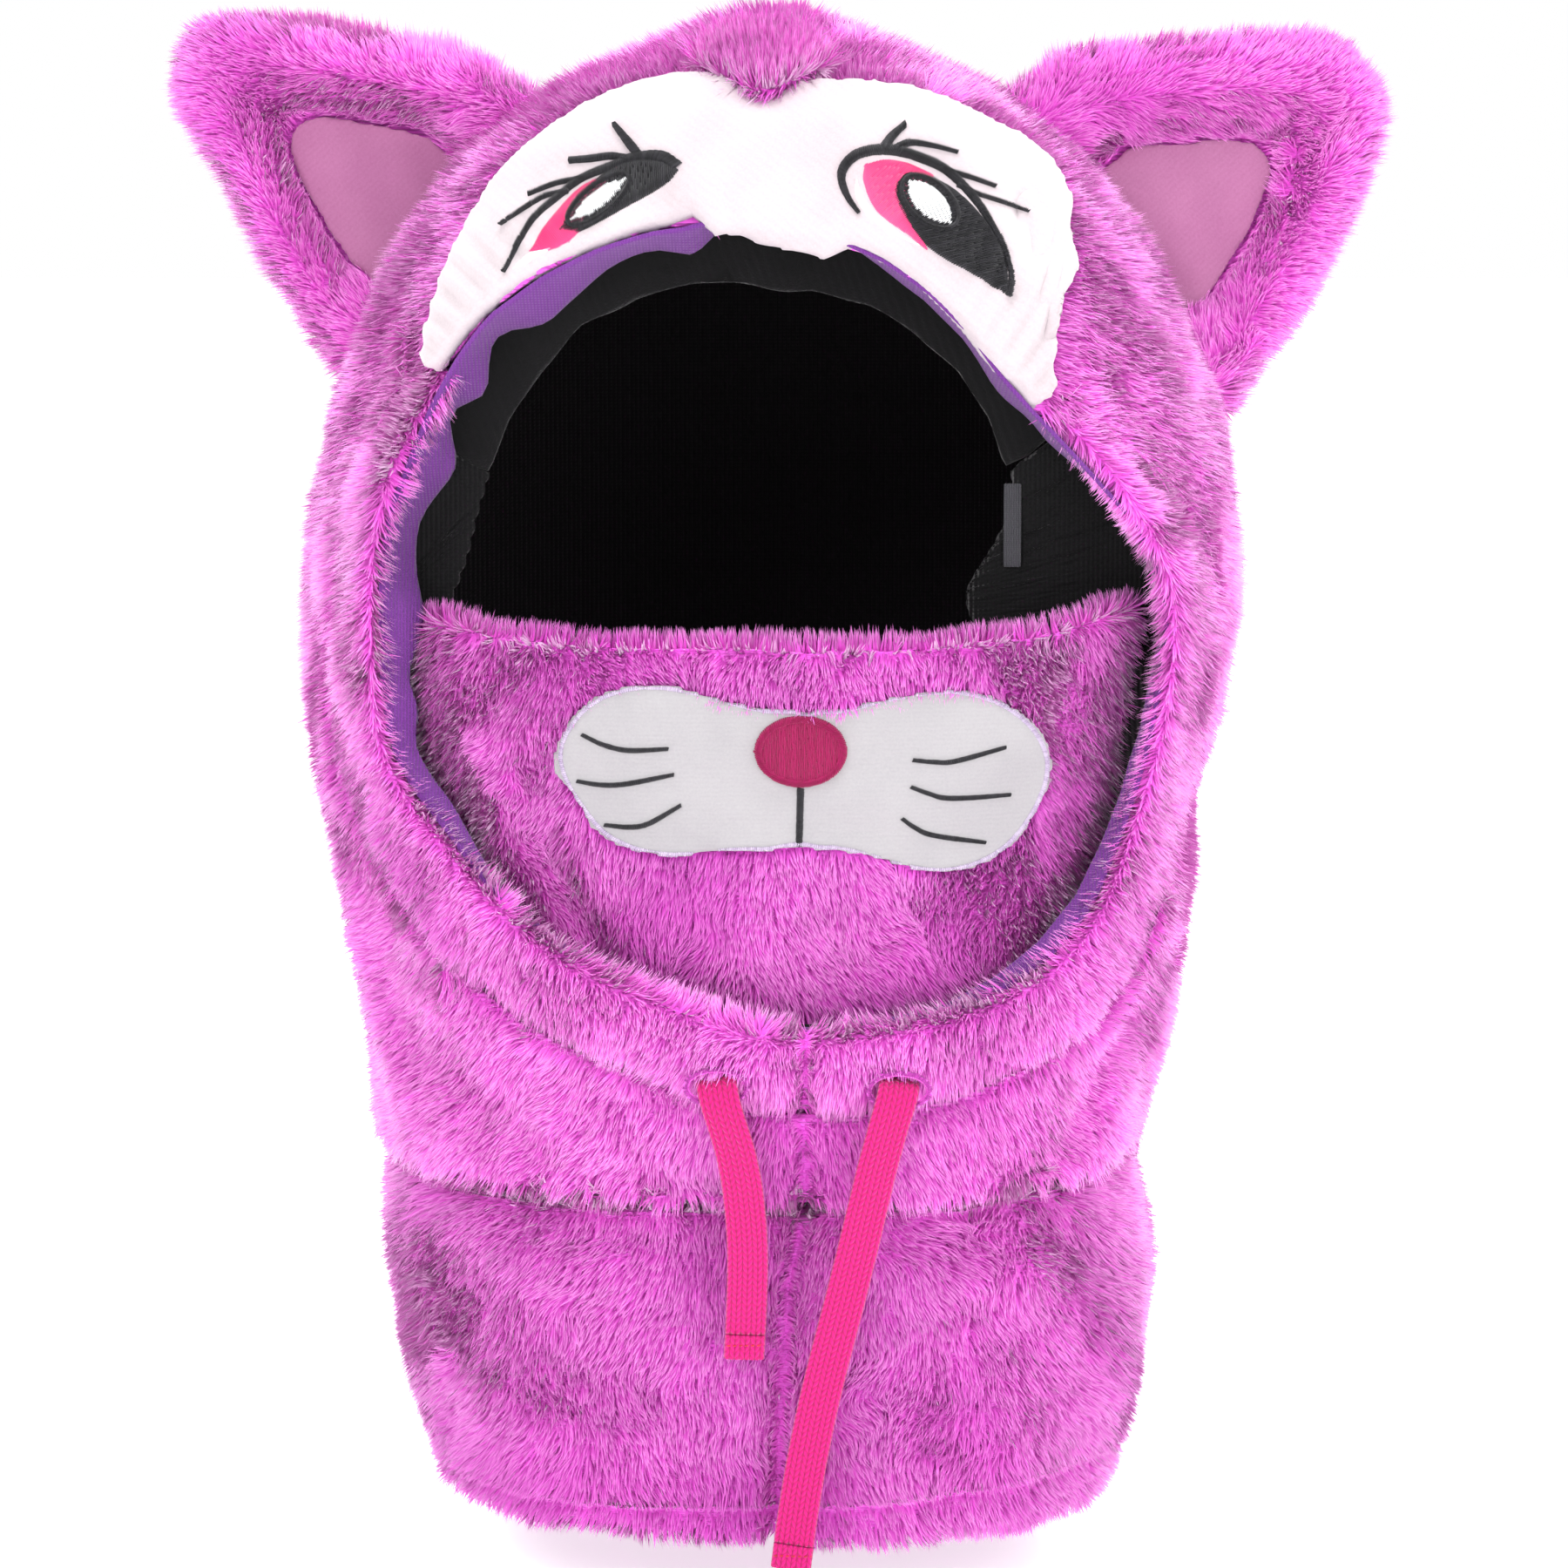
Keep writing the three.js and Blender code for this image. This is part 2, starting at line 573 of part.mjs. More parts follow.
// Merges shared vertices, drops faces without area and turns the faces outwards
function closedGeometry(points, faces) {
  const raw = new THREE.BufferGeometry().setFromPoints(points);
  raw.setIndex(faces.flat());
  const merged = mergeVertices(raw, 2e-3);
  const index = Array.from(merged.index.array);
  const kept = [];
  for (let i = 0; i < index.length; i += 3) {
    const [a, b, c] = index.slice(i, i + 3);
    if (a !== b && b !== c && c !== a) kept.push(a, b, c);
  }
  const spots = merged.attributes.position;
  const spot = (i) => new THREE.Vector3().fromBufferAttribute(spots, i);
  let volume = 0;
  for (let i = 0; i < kept.length; i += 3) {
    volume += spot(kept[i]).dot(spot(kept[i + 1]).cross(spot(kept[i + 2])));
  }
  if (volume < 0) kept.reverse();
  merged.setIndex(kept);
  return merged;
}

// A geometry as a solid for cuts and joins, and back
function toSolid(geometry) {
  const mesh = new wasm.Mesh({
    numProp: 3,
    vertProperties: new Float32Array(geometry.attributes.position.array),
    triVerts: new Uint32Array(geometry.index.array),
  });
  return new wasm.Manifold(mesh);
}

function toGeometry(solid) {
  const mesh = solid.getMesh();
  const geometry = new THREE.BufferGeometry();
  geometry.setAttribute('position', new THREE.BufferAttribute(new Float32Array(mesh.vertProperties), 3));
  geometry.setIndex(Array.from(mesh.triVerts));
  return geometry;
}

// Adds a named sub-part with its finish
function addPart(name, geometry, finish) {
  const faceted = geometry.toNonIndexed();
  faceted.computeVertexNormals();
  const material = new THREE.MeshStandardMaterial(finishes[finish]);
  material.name = finish;
  const mesh = new THREE.Mesh(faceted, material);
  mesh.name = name;
  group.add(mesh);
}

// A closed wall between two lifts of a surface point(across, along, lift), across and along 0 to 1
function wallBetween(point, stations, rows, low, high) {
  return sweep(stations + 1, (i) => {
    const loop = [];
    for (let j = 0; j <= rows; j += 1) loop.push(point(i / stations, j / rows, high));
    for (let j = rows; j >= 0; j -= 1) loop.push(point(i / stations, j / rows, low));
    return loop;
  }, false);
}

// A solid that runs along Y through an outline of (x, z) points, from one depth to another
function prismAlongY(outline, from, to) {
  const shape = new THREE.Shape(outline);
  const geometry = new THREE.ExtrudeGeometry(shape, { depth: to - from, bevelEnabled: false });
  geometry.rotateX(Math.PI / 2);
  geometry.translate(0, to, 0);
  geometry.deleteAttribute('normal');
  geometry.deleteAttribute('uv');
  return toSolid(mergeVertices(geometry, 1e-3));
}

// The outline of the opening moved outwards by a margin(turn)
function openingOutline(margin) {
  const outline = [];
  for (let i = 0; i < rimSteps; i += 1) {
    const turn = rimTurn(i);
    outline.push(rimPlace(turn, rimReach(turn) + margin(turn)));
  }
  return outline;
}

// A dome between two lifts of the hood's surface, down to the neck seam
function dome(outerLift, innerLift, folded) {
  return sweep(levelSteps, (i) => {
    const turn = levelTurn(i);
    const outer = meridian(turn, outerLift, folded);
    return outer.concat(meridian(turn, innerLift, false).reverse());
  }, true);
}

const levelTurn = (i) => -Math.PI + (2 * Math.PI * i) / levelSteps;

// A line down the hood from its crown to the neck seam, lifted, with or without the folds
function meridian(turn, lift, folded) {
  const end = placeOf(hoodRows, 'drop', (crownHeight - seamAt(turn)) / hoodHeight);
  const line = [];
  for (let j = 0; j <= domeRows; j += 1) {
    const place = (end * j) / domeRows;
    const rise = folded ? foldRise(THREE.MathUtils.radToDeg(turn), smooth(hoodRows, 'drop', place)) : 0;
    line.push(hoodPoint(turn, place, lift + rise));
  }
  return line;
}

// The whole space inside a lifted surface of the hood, closed by a shallow cone under the seam
function hoodSpace(lift, folded) {
  const bottom = new THREE.Vector3(0, 0, seamHeight);
  return toSolid(sweep(levelSteps, (i) => meridian(levelTurn(i), lift, folded).concat(bottom), true));
}

// What is cut from the shell: the opening, and in front of the shell's sides the casing's room
function openingCut() {
  const inner = openingOutline(() => 0);
  const outer = openingOutline((turn) => (inCasing(turn) ? casingReach(turn) + clothGap : 0));
  const behind = inner.map((place, i) => casingBack(rimTurn(i)) + casingClear);
  const atDepth = (outline, depth) => outline.map((place, i) => new THREE.Vector3(place.x, depth(i), place.y));
  const loops = [
    atDepth(outer, () => -2 * hoodFrontDepth),
    atDepth(outer, (i) => behind[i]),
    atDepth(inner, (i) => behind[i]),
    atDepth(inner, () => 0),
  ];
  return toSolid(sweep(loops.length, (i) => loops[i], false));
}

// The hood's plush shell, open under the neck seam and at the face
function buildHood() {
  const shell = dome(0, -plushWall, true);
  addPart('hood_shell', toGeometry(toSolid(shell).subtract(openingCut())), 'plush');
}

// The section of the casing's roll at a turn, and how deep it reaches
function casingSection(turn, full) {
  const loop = [];
  for (let j = 0; j < casingSides; j += 1) loop.push(casingPoint(turn, (2 * Math.PI * j) / casingSides, full));
  return loop;
}

const casingBack = (turn) => Math.max(...casingSection(turn, 1).map((point) => point.y));

// The casing's roll, by turn and by the angle round its section: 0 is its outer edge
function casingPoint(turn, angle, full) {
  const width = casingReach(turn) - facetGap;
  const place = rimPlace(turn, rimReach(turn) + width * (0.5 + 0.5 * Math.cos(angle)));
  const point = frontPoint(place.x, place.y, 0);
  const halfThickness = (plushWall + casingProud) / 2;
  point.y += halfThickness - casingProud - clothGap - full * halfThickness * Math.sin(angle);
  return point;
}

// The depth of the casing's front at a place seen from the front
function casingFront(x, z) {
  const turn = THREE.MathUtils.radToDeg(Math.atan2(x, z - openingHeight));
  const beyond = Math.hypot(x, z - openingHeight) - rimReach(turn);
  const share = THREE.MathUtils.clamp(beyond / (casingReach(turn) - facetGap), 0, 1);
  return casingPoint(turn, Math.acos(2 * share - 1), 1).y;
}

const inCasing = (turn) => turn < casingTo || turn > casingFrom + 360;

// The drawcord casing: a stuffed roll along the lower rim of the opening
function buildCasing() {
  const taper = 10;
  const from = casingFrom + casingEndGap;
  const to = casingTo - casingEndGap;
  const geometry = sweep(rimSteps + 1, (i) => {
    const turn = from + ((to - from) * i) / rimSteps;
    const toEnd = Math.min(turn - from, to - turn);
    return casingSection(turn, Math.min(1, 0.55 + (0.45 * toEnd) / taper));
  }, false);
  addPart('face_casing', geometry, 'plush');
}

// The purple facing that lines the rim and turns back into the hood
function buildFacing() {
  const rows = 3;
  const geometry = sweep(rimSteps, (i) => {
    const turn = rimTurn(i);
    const reach = rimReach(turn) - clothGap;
    const shows = byTurn(rimRows, 'facing', turn) * openingRadius;
    const depth = byTurn(rimRows, 'depth', turn) * facingDepth;
    const front = frontPoint(rimPlace(turn, reach).x, rimPlace(turn, reach).y, 0).y + clothGap;
    const loop = [];
    const edge = (j, wall) => {
      const share = j / rows;
      const place = rimPlace(turn, reach - shows * share - wall);
      return new THREE.Vector3(place.x, front + depth * share, place.y);
    };
    for (let j = 0; j <= rows; j += 1) loop.push(edge(j, 0));
    for (let j = rows; j >= 0; j -= 1) loop.push(edge(j, facingWall));
    return loop;
  }, true);
  addPart('rim_facing', geometry, 'purple');
}

// The black lining of the crown, cheeks and back of the head
function buildLining() {
  const outer = -plushWall - facetGap;
  const shell = dome(outer, outer - liningWall, false);
  const margin = () => clothGap;
  const opening = prismAlongY(openingOutline(margin), -2 * hoodFrontDepth, 0);
  addPart('hood_lining', toGeometry(toSolid(shell).subtract(opening)), 'black');
}

// A black band inside the hood that stands across it behind the rim, between two turns
function innerBand(from, to, inside) {
  const steps = 12;
  const overreach = 1.45;
  const strip = wallBetween((across, along, lift) => {
    const turn = from + (to - from) * across;
    const inner = byTurn(bandRows, 'reach', turn) * openingRadius;
    const reach = inner + (overreach * openingRadius - inner) * along;
    const place = rimPlace(turn, reach);
    return new THREE.Vector3(place.x, bandSetback - hoodFrontDepth - lift, place.y);
  }, steps, 2, 0, bandWall);
  return toGeometry(toSolid(strip).intersect(inside));
}

function buildInnerBands() {
  const inside = hoodSpace(-plushWall - liningWall - facetGap - clothGap, false);
  const turns = [-100, -62, 56, 96];
  const gap = 0.4;
  addPart('side_knit_left', innerBand(turns[0], turns[1], inside), 'black');
  addPart('brow_band', innerBand(turns[1] + gap, turns[2] - gap, inside), 'black');
  addPart('side_knit_right', innerBand(turns[2], turns[3], inside), 'black');
}

// A small blank label sewn flat to the front of the right side knit
function buildLabel() {
  const geometry = new THREE.BoxGeometry(labelWidth, labelWall, labelHeight);
  const across = 0.62 * openingRadius;
  const height = openingHeight + 0.26 * openingRadius;
  const front = bandSetback - hoodFrontDepth - bandWall - clothGap;
  geometry.translate(across, front - labelWall / 2, height);
  geometry.deleteAttribute('normal');
  geometry.deleteAttribute('uv');
  addPart('blank_label', mergeVertices(geometry), 'white');
}

// The cream eye panel along the upper rim
function buildEyePanel() {
  const last = panelRows.length - 1;
  const geometry = wallBetween((across, along, lift) => {
    const turn = smooth(panelRows, 'turn', across * last);
    const high = smooth(panelRows, 'high', across * last) * panelRise;
    const place = rimPlace(turn, rimReach(turn) + high * along);
    return frontPoint(place.x, place.y, lift);
  }, 24, 4, facetGap, facetGap + panelWall);
  addPart('eye_panel', geometry, 'cream');
}

// A flat shape on a surface: rows give its low and high edge along a tilted line
function patch(rows, middle, tilt, length, height, surface, low, high, steps) {
  const turned = (x, z) => new THREE.Vector2(x, z).rotateAround(new THREE.Vector2(), radians(tilt)).add(middle);
  return wallBetween((across, along, lift) => {
    const place = across * (rows.length - 1);
    const x = smooth(rows, 'along', place) * length;
    const bottom = smooth(rows, 'low', place) * height;
    const top = smooth(rows, 'high', place) * height;
    const spot = turned(x, bottom + (top - bottom) * along);
    return surface(spot.x, spot.y, lift);
  }, steps[0], steps[1], low, high);
}

// The rows of an ellipse with a unit half length
function ovalRows(width) {
  const rows = [];
  for (let i = 0; i <= 10; i += 1) {
    const angle = Math.PI * (1 - i / 10);
    const half = Math.max(Math.sin(angle), 0.02) * width;
    rows.push({ along: Math.cos(angle), low: -half, high: half });
  }
  return rows;
}

const onOpening = (across, up) => new THREE.Vector2(across * openingRadius, openingHeight + up * openingRadius);
const threadLayer = (layer) => facetGap + panelWall + clothGap + layer * (threadWall + clothGap);

// The embroidered eyes: iris, pupil, glint and upper lid, laid over each other
function buildEyes() {
  for (const eye of eyePieces) {
    const low = threadLayer(eye.layer);
    const middle = onOpening(eye.across, eye.up);
    const shape = patch(eye.rows, middle, eye.tilt, eyeLength, eyeLength, frontPoint, low, low + threadWall, [9, 2]);
    addPart(eye.name, shape, eye.colour);
  }
  for (const glint of glints) {
    const low = threadLayer(2);
    const rows = ovalRows(glint.width);
    const middle = onOpening(glint.across, glint.up);
    const half = glintLength / 2;
    const shape = patch(rows, middle, glint.tilt, half, half, frontPoint, low, low + threadWall, [8, 2]);
    addPart(glint.name, shape, 'white');
  }
  for (const lid of lids) addPart(lid.name, lidStroke(lid.path), 'black');
}

// An upper lid: a stroke of stitches along a path
function lidStroke(path) {
  const steps = 12;
  const last = path.length - 1;
  const low = threadLayer(1);
  const spotAt = (share) => onOpening(smooth(path, 'across', share * last), smooth(path, 'up', share * last));
  return wallBetween((across, along, lift) => {
    const step = 0.5 / steps;
    const ahead = spotAt(Math.min(across + step, 1)).sub(spotAt(Math.max(across - step, 0))).normalize();
    const half = (smooth(path, 'width', across * last) * eyeLength) / 2;
    const spot = spotAt(across).add(new THREE.Vector2(-ahead.y, ahead.x).multiplyScalar(half * (2 * along - 1)));
    return frontPoint(spot.x, spot.y, lift);
  }, steps, 1, low, low + threadWall);
}

// The V of long plush that falls from the crown over the eye panel
function buildForetuft() {
  const middle = new THREE.Vector2(foretuftAcross, foretuftHeight);
  const low = facetGap + panelWall + clothGap;
  const domed = (x, z, lift) => {
    const share = lift > low ? 1 - 0.6 * (Math.abs(x - middle.x) / (foretuftWidth / 2)) ** 2 : 0;
    const upper = THREE.MathUtils.clamp((z - middle.y) / (foretuftLength / 2) + 0.5, 0, 1);
    return frontPoint(x, z, low + foretuftPile * share * (1 - 0.6 * upper));
  };
  const shape = patch(foretuftRows, middle, 0, foretuftWidth, foretuftLength / 2, domed, low, low + 1, [10, 3]);
  addPart('foretuft', shape, 'plush');
}

// The ears: padded plush, dished in front for a velour panel, cut to sit on the hood
function buildEars() {
  const hood = hoodSpace(clothGap, true);
  for (const ear of ears) {
    const sign = ear.side === 'left' ? -1 : 1;
    const slope = radians(ear.slope);
    const middle = new THREE.Vector3(
      ear.across * hoodHalfWidth,
      0,
      crownHeight - ear.drop * hoodHeight,
    );
    const along = new THREE.Vector3(sign * Math.cos(slope), 0, -Math.sin(slope));
    const out = new THREE.Vector3(sign * Math.sin(slope), 0, Math.cos(slope));
    const faceTurn = new THREE.Matrix4().makeRotationZ(radians(ear.turn));
    const place = (a, o, depth) => {
      const spot = along.clone().multiplyScalar(a).addScaledVector(out, o);
      spot.y -= depth;
      return spot.applyMatrix4(faceTurn).add(middle);
    };
    const outline = (ring) => {
      const loop = [];
      const last = earOutline.length - 1;
      const count = 22;
      for (let i = 0; i < count; i += 1) {
        const at = (last * i) / (count - 1);
        const a = smooth(earOutline, 'along', at) * earHalfBase * ear.base;
        const o = (smooth(earOutline, 'out', at) - earRingCentre) * earHeight;
        loop.push([a * ring, (earRingCentre * earHeight) + o * ring]);
      }
      return loop;
    };
    const shell = sweep(earRings.length, (i) => {
      const { ring, depth } = earRings[i];
      return outline(ring).map(([a, o]) => place(a, o, depth * earThickness));
    }, false);
    addPart(`ear_${ear.side}`, toGeometry(toSolid(shell).subtract(hood)), 'plush');
    const dish = smooth(earRings, 'depth', 1) * earThickness + clothGap;
    const panel = sweep(4, (i) => {
      const ring = i === 0 || i === 3 ? 0 : earPanelRing;
      const depth = i < 2 ? dish + earPanelWall : dish;
      return outline(ring).map(([a, o]) => place(a, o, depth));
    }, false);
    addPart(`ear_panel_${ear.side}`, toGeometry(toSolid(panel).subtract(hood)), 'lilac');
  }
}

// The mask's front surface inside the opening, straight behind (x, z)
function maskPoint(x, z, lift) {
  const inset = plushWall + liningWall + clothGap + 2 * facetGap + maskGap;
  const off = Math.hypot(x, z - openingHeight) / openingRadius;
  const bulge = maskBulge * Math.max(0, 1 - off * off);
  return frontPoint(x, z, lift + bulge - inset);
}

// The plush face mask across the lower half of the opening
function buildMask() {
  const halfWidth = 0.875 * hoodHalfWidth;
  const top = crownHeight - maskDrop;
  const sideRise = 0.07;
  const geometry = wallBetween((across, along, lift) => {
    const share = 2 * across - 1;
    const high = top + maskHeight * sideRise * Math.abs(share) ** 3;
    const z = high - maskHeight * (1 - along);
    const narrow = 1 - 0.13 * (1 - along);
    return maskPoint(share * halfWidth * narrow, z, lift);
  }, 22, 6, -maskWall, 0);
  addPart('face_mask', geometry, 'plush');
}

// The white muzzle patch with its nose
function buildMuzzle() {
  const middle = new THREE.Vector2(0.08 * hoodHalfWidth, crownHeight - muzzleDrop);
  const low = clothGap;
  const high = low + muzzleWall;
  const shape = patch(muzzleRows, middle, 0, muzzleHalfWidth, muzzleHalfHeight, maskPoint, low, high, [22, 4]);
  addPart('muzzle_patch', shape, 'white');
  const noseMiddle = new THREE.Vector2(0.06 * hoodHalfWidth, middle.y + 0.3 * muzzleHalfHeight);
  const noseLow = high + clothGap;
  const nose = patch(ovalRows(1), noseMiddle, 0, noseHalfWidth, noseHalfHeight, maskPoint, noseLow,
    noseLow + threadWall * 2, [10, 2]);
  addPart('nose', nose, 'nose');
}

// The neck tube, from the neck seam down to its open hem
function buildNeck() {
  const rows = 6;
  const base = (turn, place) => {
    const share = place / (neckRows.length - 1);
    const size = {
      left: smooth(neckRows, 'left', place) * neckHalfWidth,
      right: smooth(neckRows, 'right', place) * neckHalfWidth,
      front: smooth(neckRows, 'front', place) * neckFrontDepth,
      back: smooth(neckRows, 'back', place) * neckBackDepth,
    };
    const top = seamAt(turn) - clothGap;
    return levelPoint(size, turn, top + (hemAt(turn) - top) * share);
  };
  const geometry = sweep(levelSteps, (i) => {
    const turn = levelTurn(i);
    const point = (j, lift) => {
      const place = ((neckRows.length - 1) * j) / rows;
      const flat = normalOf(base, turn, place);
      flat.z = 0;
      return base(turn, place).addScaledVector(flat.normalize(), lift);
    };
    const loop = [];
    for (let j = 0; j <= rows; j += 1) loop.push(point(j, 0));
    for (let j = rows; j >= 0; j -= 1) loop.push(point(j, -plushWall));
    return loop;
  }, true);
  addPart('neck_tube', geometry, 'plush');
}

// The drawcords: flat cords that hang from their buttonholes, each with a folded end tab
function buildCords() {
  for (const cord of cords) {
    const { path, side } = cord;
    const spot = (i) => new THREE.Vector3(path[i].x, path[i].y, path[i].z);
    const last = path.length - 1;
    const frameAt = (i) => {
      const ahead = spot(Math.min(i + 1, last)).sub(spot(Math.max(i - 1, 0))).normalize();
      const across = new THREE.Vector3(1, 0, 0).applyAxisAngle(ahead, radians(path[i].twist));
      across.addScaledVector(ahead, -across.dot(ahead)).normalize();
      return { ahead, across, up: across.clone().cross(ahead) };
    };
    const section = (centre, frame, thickness) => {
      const half = cordWidth / 2;
      const profile = [[-1, 0.5], [-0.8, 1], [0.8, 1], [1, 0.5], [1, -0.5], [0.8, -1], [-0.8, -1], [-1, -0.5]];
      return profile.map(([a, b]) => centre.clone()
        .addScaledVector(frame.across, a * half)
        .addScaledVector(frame.up, (b * thickness) / 2));
    };
    const tape = sweep(path.length, (i) => section(spot(i), frameAt(i), cordThickness), false);
    addPart(`drawcord_${side}`, tape, 'cord');
    const end = frameAt(last);
    const tab = sweep(2, (i) => {
      const centre = spot(last).addScaledVector(end.ahead, clothGap + cordTabLength * i);
      return section(centre, end, tabThickness);
    }, false);
    addPart(`drawcord_tab_${side}`, tab, 'cord');
    addPart(`buttonhole_${side}`, buttonhole(path[0].x, path[0].z - holeBelowExit), 'plushDark');
  }
}

// A buttonhole's stitched rim, lying on the casing round the place where a cord comes out
function buttonhole(x, z) {
  const steps = 16;
  const sides = 6;
  const front = Math.min(...[-1, -0.5, 0, 0.5, 1].map((share) => casingFront(x, z + share * holeHalfHeight)));
  return sweep(steps, (i) => {
    const turn = (2 * Math.PI * i) / steps;
    const radial = new THREE.Vector3(Math.cos(turn), 0, Math.sin(turn));
    const centre = new THREE.Vector3(
      x + holeHalfWidth * Math.cos(turn),
      front - holeRim - clothGap,
      z + holeHalfHeight * Math.sin(turn),
    );
    const loop = [];
    for (let j = 0; j < sides; j += 1) {
      const angle = (2 * Math.PI * j) / sides;
      const point = centre.clone().addScaledVector(radial, holeRim * Math.cos(angle));
      point.y += holeRim * Math.sin(angle);
      loop.push(point);
    }
    return loop;
  }, true);
}

buildHood();
buildCasing();
buildFacing();
buildLining();
buildInnerBands();
buildLabel();
buildEyePanel();
buildEyes();
buildForetuft();
buildEars();
buildMask();
buildMuzzle();
buildNeck();
buildCords();

export default group;
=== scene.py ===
"""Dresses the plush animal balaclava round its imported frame.

Lengths are metres, +Z is up, the face looks along -Y, and the origin is where the crown of the
head sits inside the lining. Each plush piece is a smoothed backing with a pile of tufts on it, and
the embroidery is laid thread by thread on the cloth that carries it.
"""
import json
import logging
import math
from collections.abc import Callable, Sequence
from dataclasses import dataclass, field
from enum import Enum

import bmesh
import bpy
import numpy as np
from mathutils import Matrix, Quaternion, Vector
from mathutils.bvhtree import BVHTree

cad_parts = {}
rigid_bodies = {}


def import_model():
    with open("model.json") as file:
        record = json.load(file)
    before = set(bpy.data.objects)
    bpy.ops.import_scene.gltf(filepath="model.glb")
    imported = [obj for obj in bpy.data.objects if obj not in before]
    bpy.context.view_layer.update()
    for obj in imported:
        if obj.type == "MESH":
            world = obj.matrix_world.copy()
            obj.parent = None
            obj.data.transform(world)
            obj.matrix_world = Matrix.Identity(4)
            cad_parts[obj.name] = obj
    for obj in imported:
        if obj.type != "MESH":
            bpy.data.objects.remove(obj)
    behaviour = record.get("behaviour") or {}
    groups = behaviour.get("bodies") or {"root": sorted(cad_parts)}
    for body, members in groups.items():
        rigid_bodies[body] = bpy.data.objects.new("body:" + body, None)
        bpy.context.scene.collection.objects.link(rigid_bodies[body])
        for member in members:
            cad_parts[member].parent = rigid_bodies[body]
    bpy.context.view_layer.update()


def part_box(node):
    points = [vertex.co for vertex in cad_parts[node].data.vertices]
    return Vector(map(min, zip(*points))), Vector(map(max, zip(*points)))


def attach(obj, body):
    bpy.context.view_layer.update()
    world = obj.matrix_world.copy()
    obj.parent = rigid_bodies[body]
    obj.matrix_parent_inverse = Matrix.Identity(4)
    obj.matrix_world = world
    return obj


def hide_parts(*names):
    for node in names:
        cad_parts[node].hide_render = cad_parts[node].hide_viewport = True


LOG = logging.getLogger("balaclava")
MM = 0.001
BODY = "root"

# Sizes that the part's source gives and the frame doesn't
OPENING_HEIGHT = -165.3 * MM
OPENING_RADIUS = 111 * MM
CORD_WIDTH = 11.5 * MM
CORD_THICKNESS = 2.2 * MM
TAB_THICKNESS = 3.2 * MM
TAB_LENGTH = 7 * MM

Colour = tuple[float, float, float]
Place = tuple[float, float]
Points = np.ndarray


def srgb(red: int, green: int, blue: int) -> Colour:
    """Turns a colour in steps of 0 to 255, as a screen shows it, into Blender's linear one."""
    return tuple((c / 255) ** 2.2 for c in (red, green, blue))


def unit(vectors: Points) -> Points:
    """Scales rows of vectors to length one."""
    return vectors / np.maximum(np.linalg.norm(vectors, axis=1, keepdims=True), 1e-9)


def waves(points: Points, size: float, seed: int, terms: int = 7) -> Points:
    """Gives smooth, repeatable noise from a sum of plane waves.

    Args:
        points: Where to read it, one row each.
        size: The typical wavelength in metres.
        seed: Chooses the pattern.
        terms: How many waves are added for each channel.

    Returns:
        Three channels of noise, mostly between -1 and 1.
    """
    rng = np.random.default_rng(seed)
    total = np.zeros((len(points), 3))
    for _ in range(terms):
        heading = unit(rng.normal(size=(3, 3))) * rng.uniform(0.6, 1.7, size=(3, 1))
        phase = rng.uniform(0, math.tau, size=3)
        total += np.sin(points @ heading.T * (math.tau / size) + phase)
    return total / math.sqrt(terms)


def smoothstep(low: float, high: float, values: Points) -> Points:
    """Rises smoothly from 0 at low to 1 at high."""
    share = np.clip((values - low) / (high - low), 0, 1)
    return share * share * (3 - 2 * share)


def through(points: Sequence[Sequence[float]], step: float) -> Points:
    """Runs a smooth curve through given points.

    Args:
        points: The points, all of one dimension.
        step: The spacing of the result, in metres.

    Returns:
        Evenly spaced points on the curve, ends included.
    """
    knots = np.asarray(points, float)
    padded = np.vstack([2 * knots[0] - knots[1], knots, 2 * knots[-1] - knots[-2]])
    fine = []
    for a, b, c, d in zip(padded, padded[1:], padded[2:], padded[3:]):
        for t in np.linspace(0, 1, 12, endpoint=False):
            bend = c - a + t * (2 * a - 5 * b + 4 * c - d + t * (3 * (b - c) + d - a))
            fine.append(b + 0.5 * t * bend)
    fine = np.array([*fine, knots[-1]])
    run = np.concatenate([[0], np.cumsum(np.linalg.norm(np.diff(fine, axis=0), axis=1))])
    count = max(2, round(run[-1] / step) + 1)
    places = np.linspace(0, run[-1], count)
    return np.stack([np.interp(places, run, column) for column in fine.T], axis=1)


def distance_to(points: Points, line: Points) -> tuple[Points, Points]:
    """Measures how far places on the front lie from a line.

    Args:
        points: Places as rows of x and z.
        line: The line's points, as rows of x and z.

    Returns:
        The distance of each place, and the unit vector from the line to it.
    """
    nearest = np.full(len(points), np.inf)
    away = np.zeros((len(points), 2))
    for start, end in zip(line, line[1:]):
        along = end - start
        share = np.clip((points - start) @ along / max(along @ along, 1e-12), 0, 1)
        offset = points - (start + share[:, None] * along)
        length = np.linalg.norm(offset, axis=1)
        closer = length < nearest
        nearest[closer] = length[closer]
        away[closer] = offset[closer] / np.maximum(length[closer], 1e-9)[:, None]
    return nearest, away


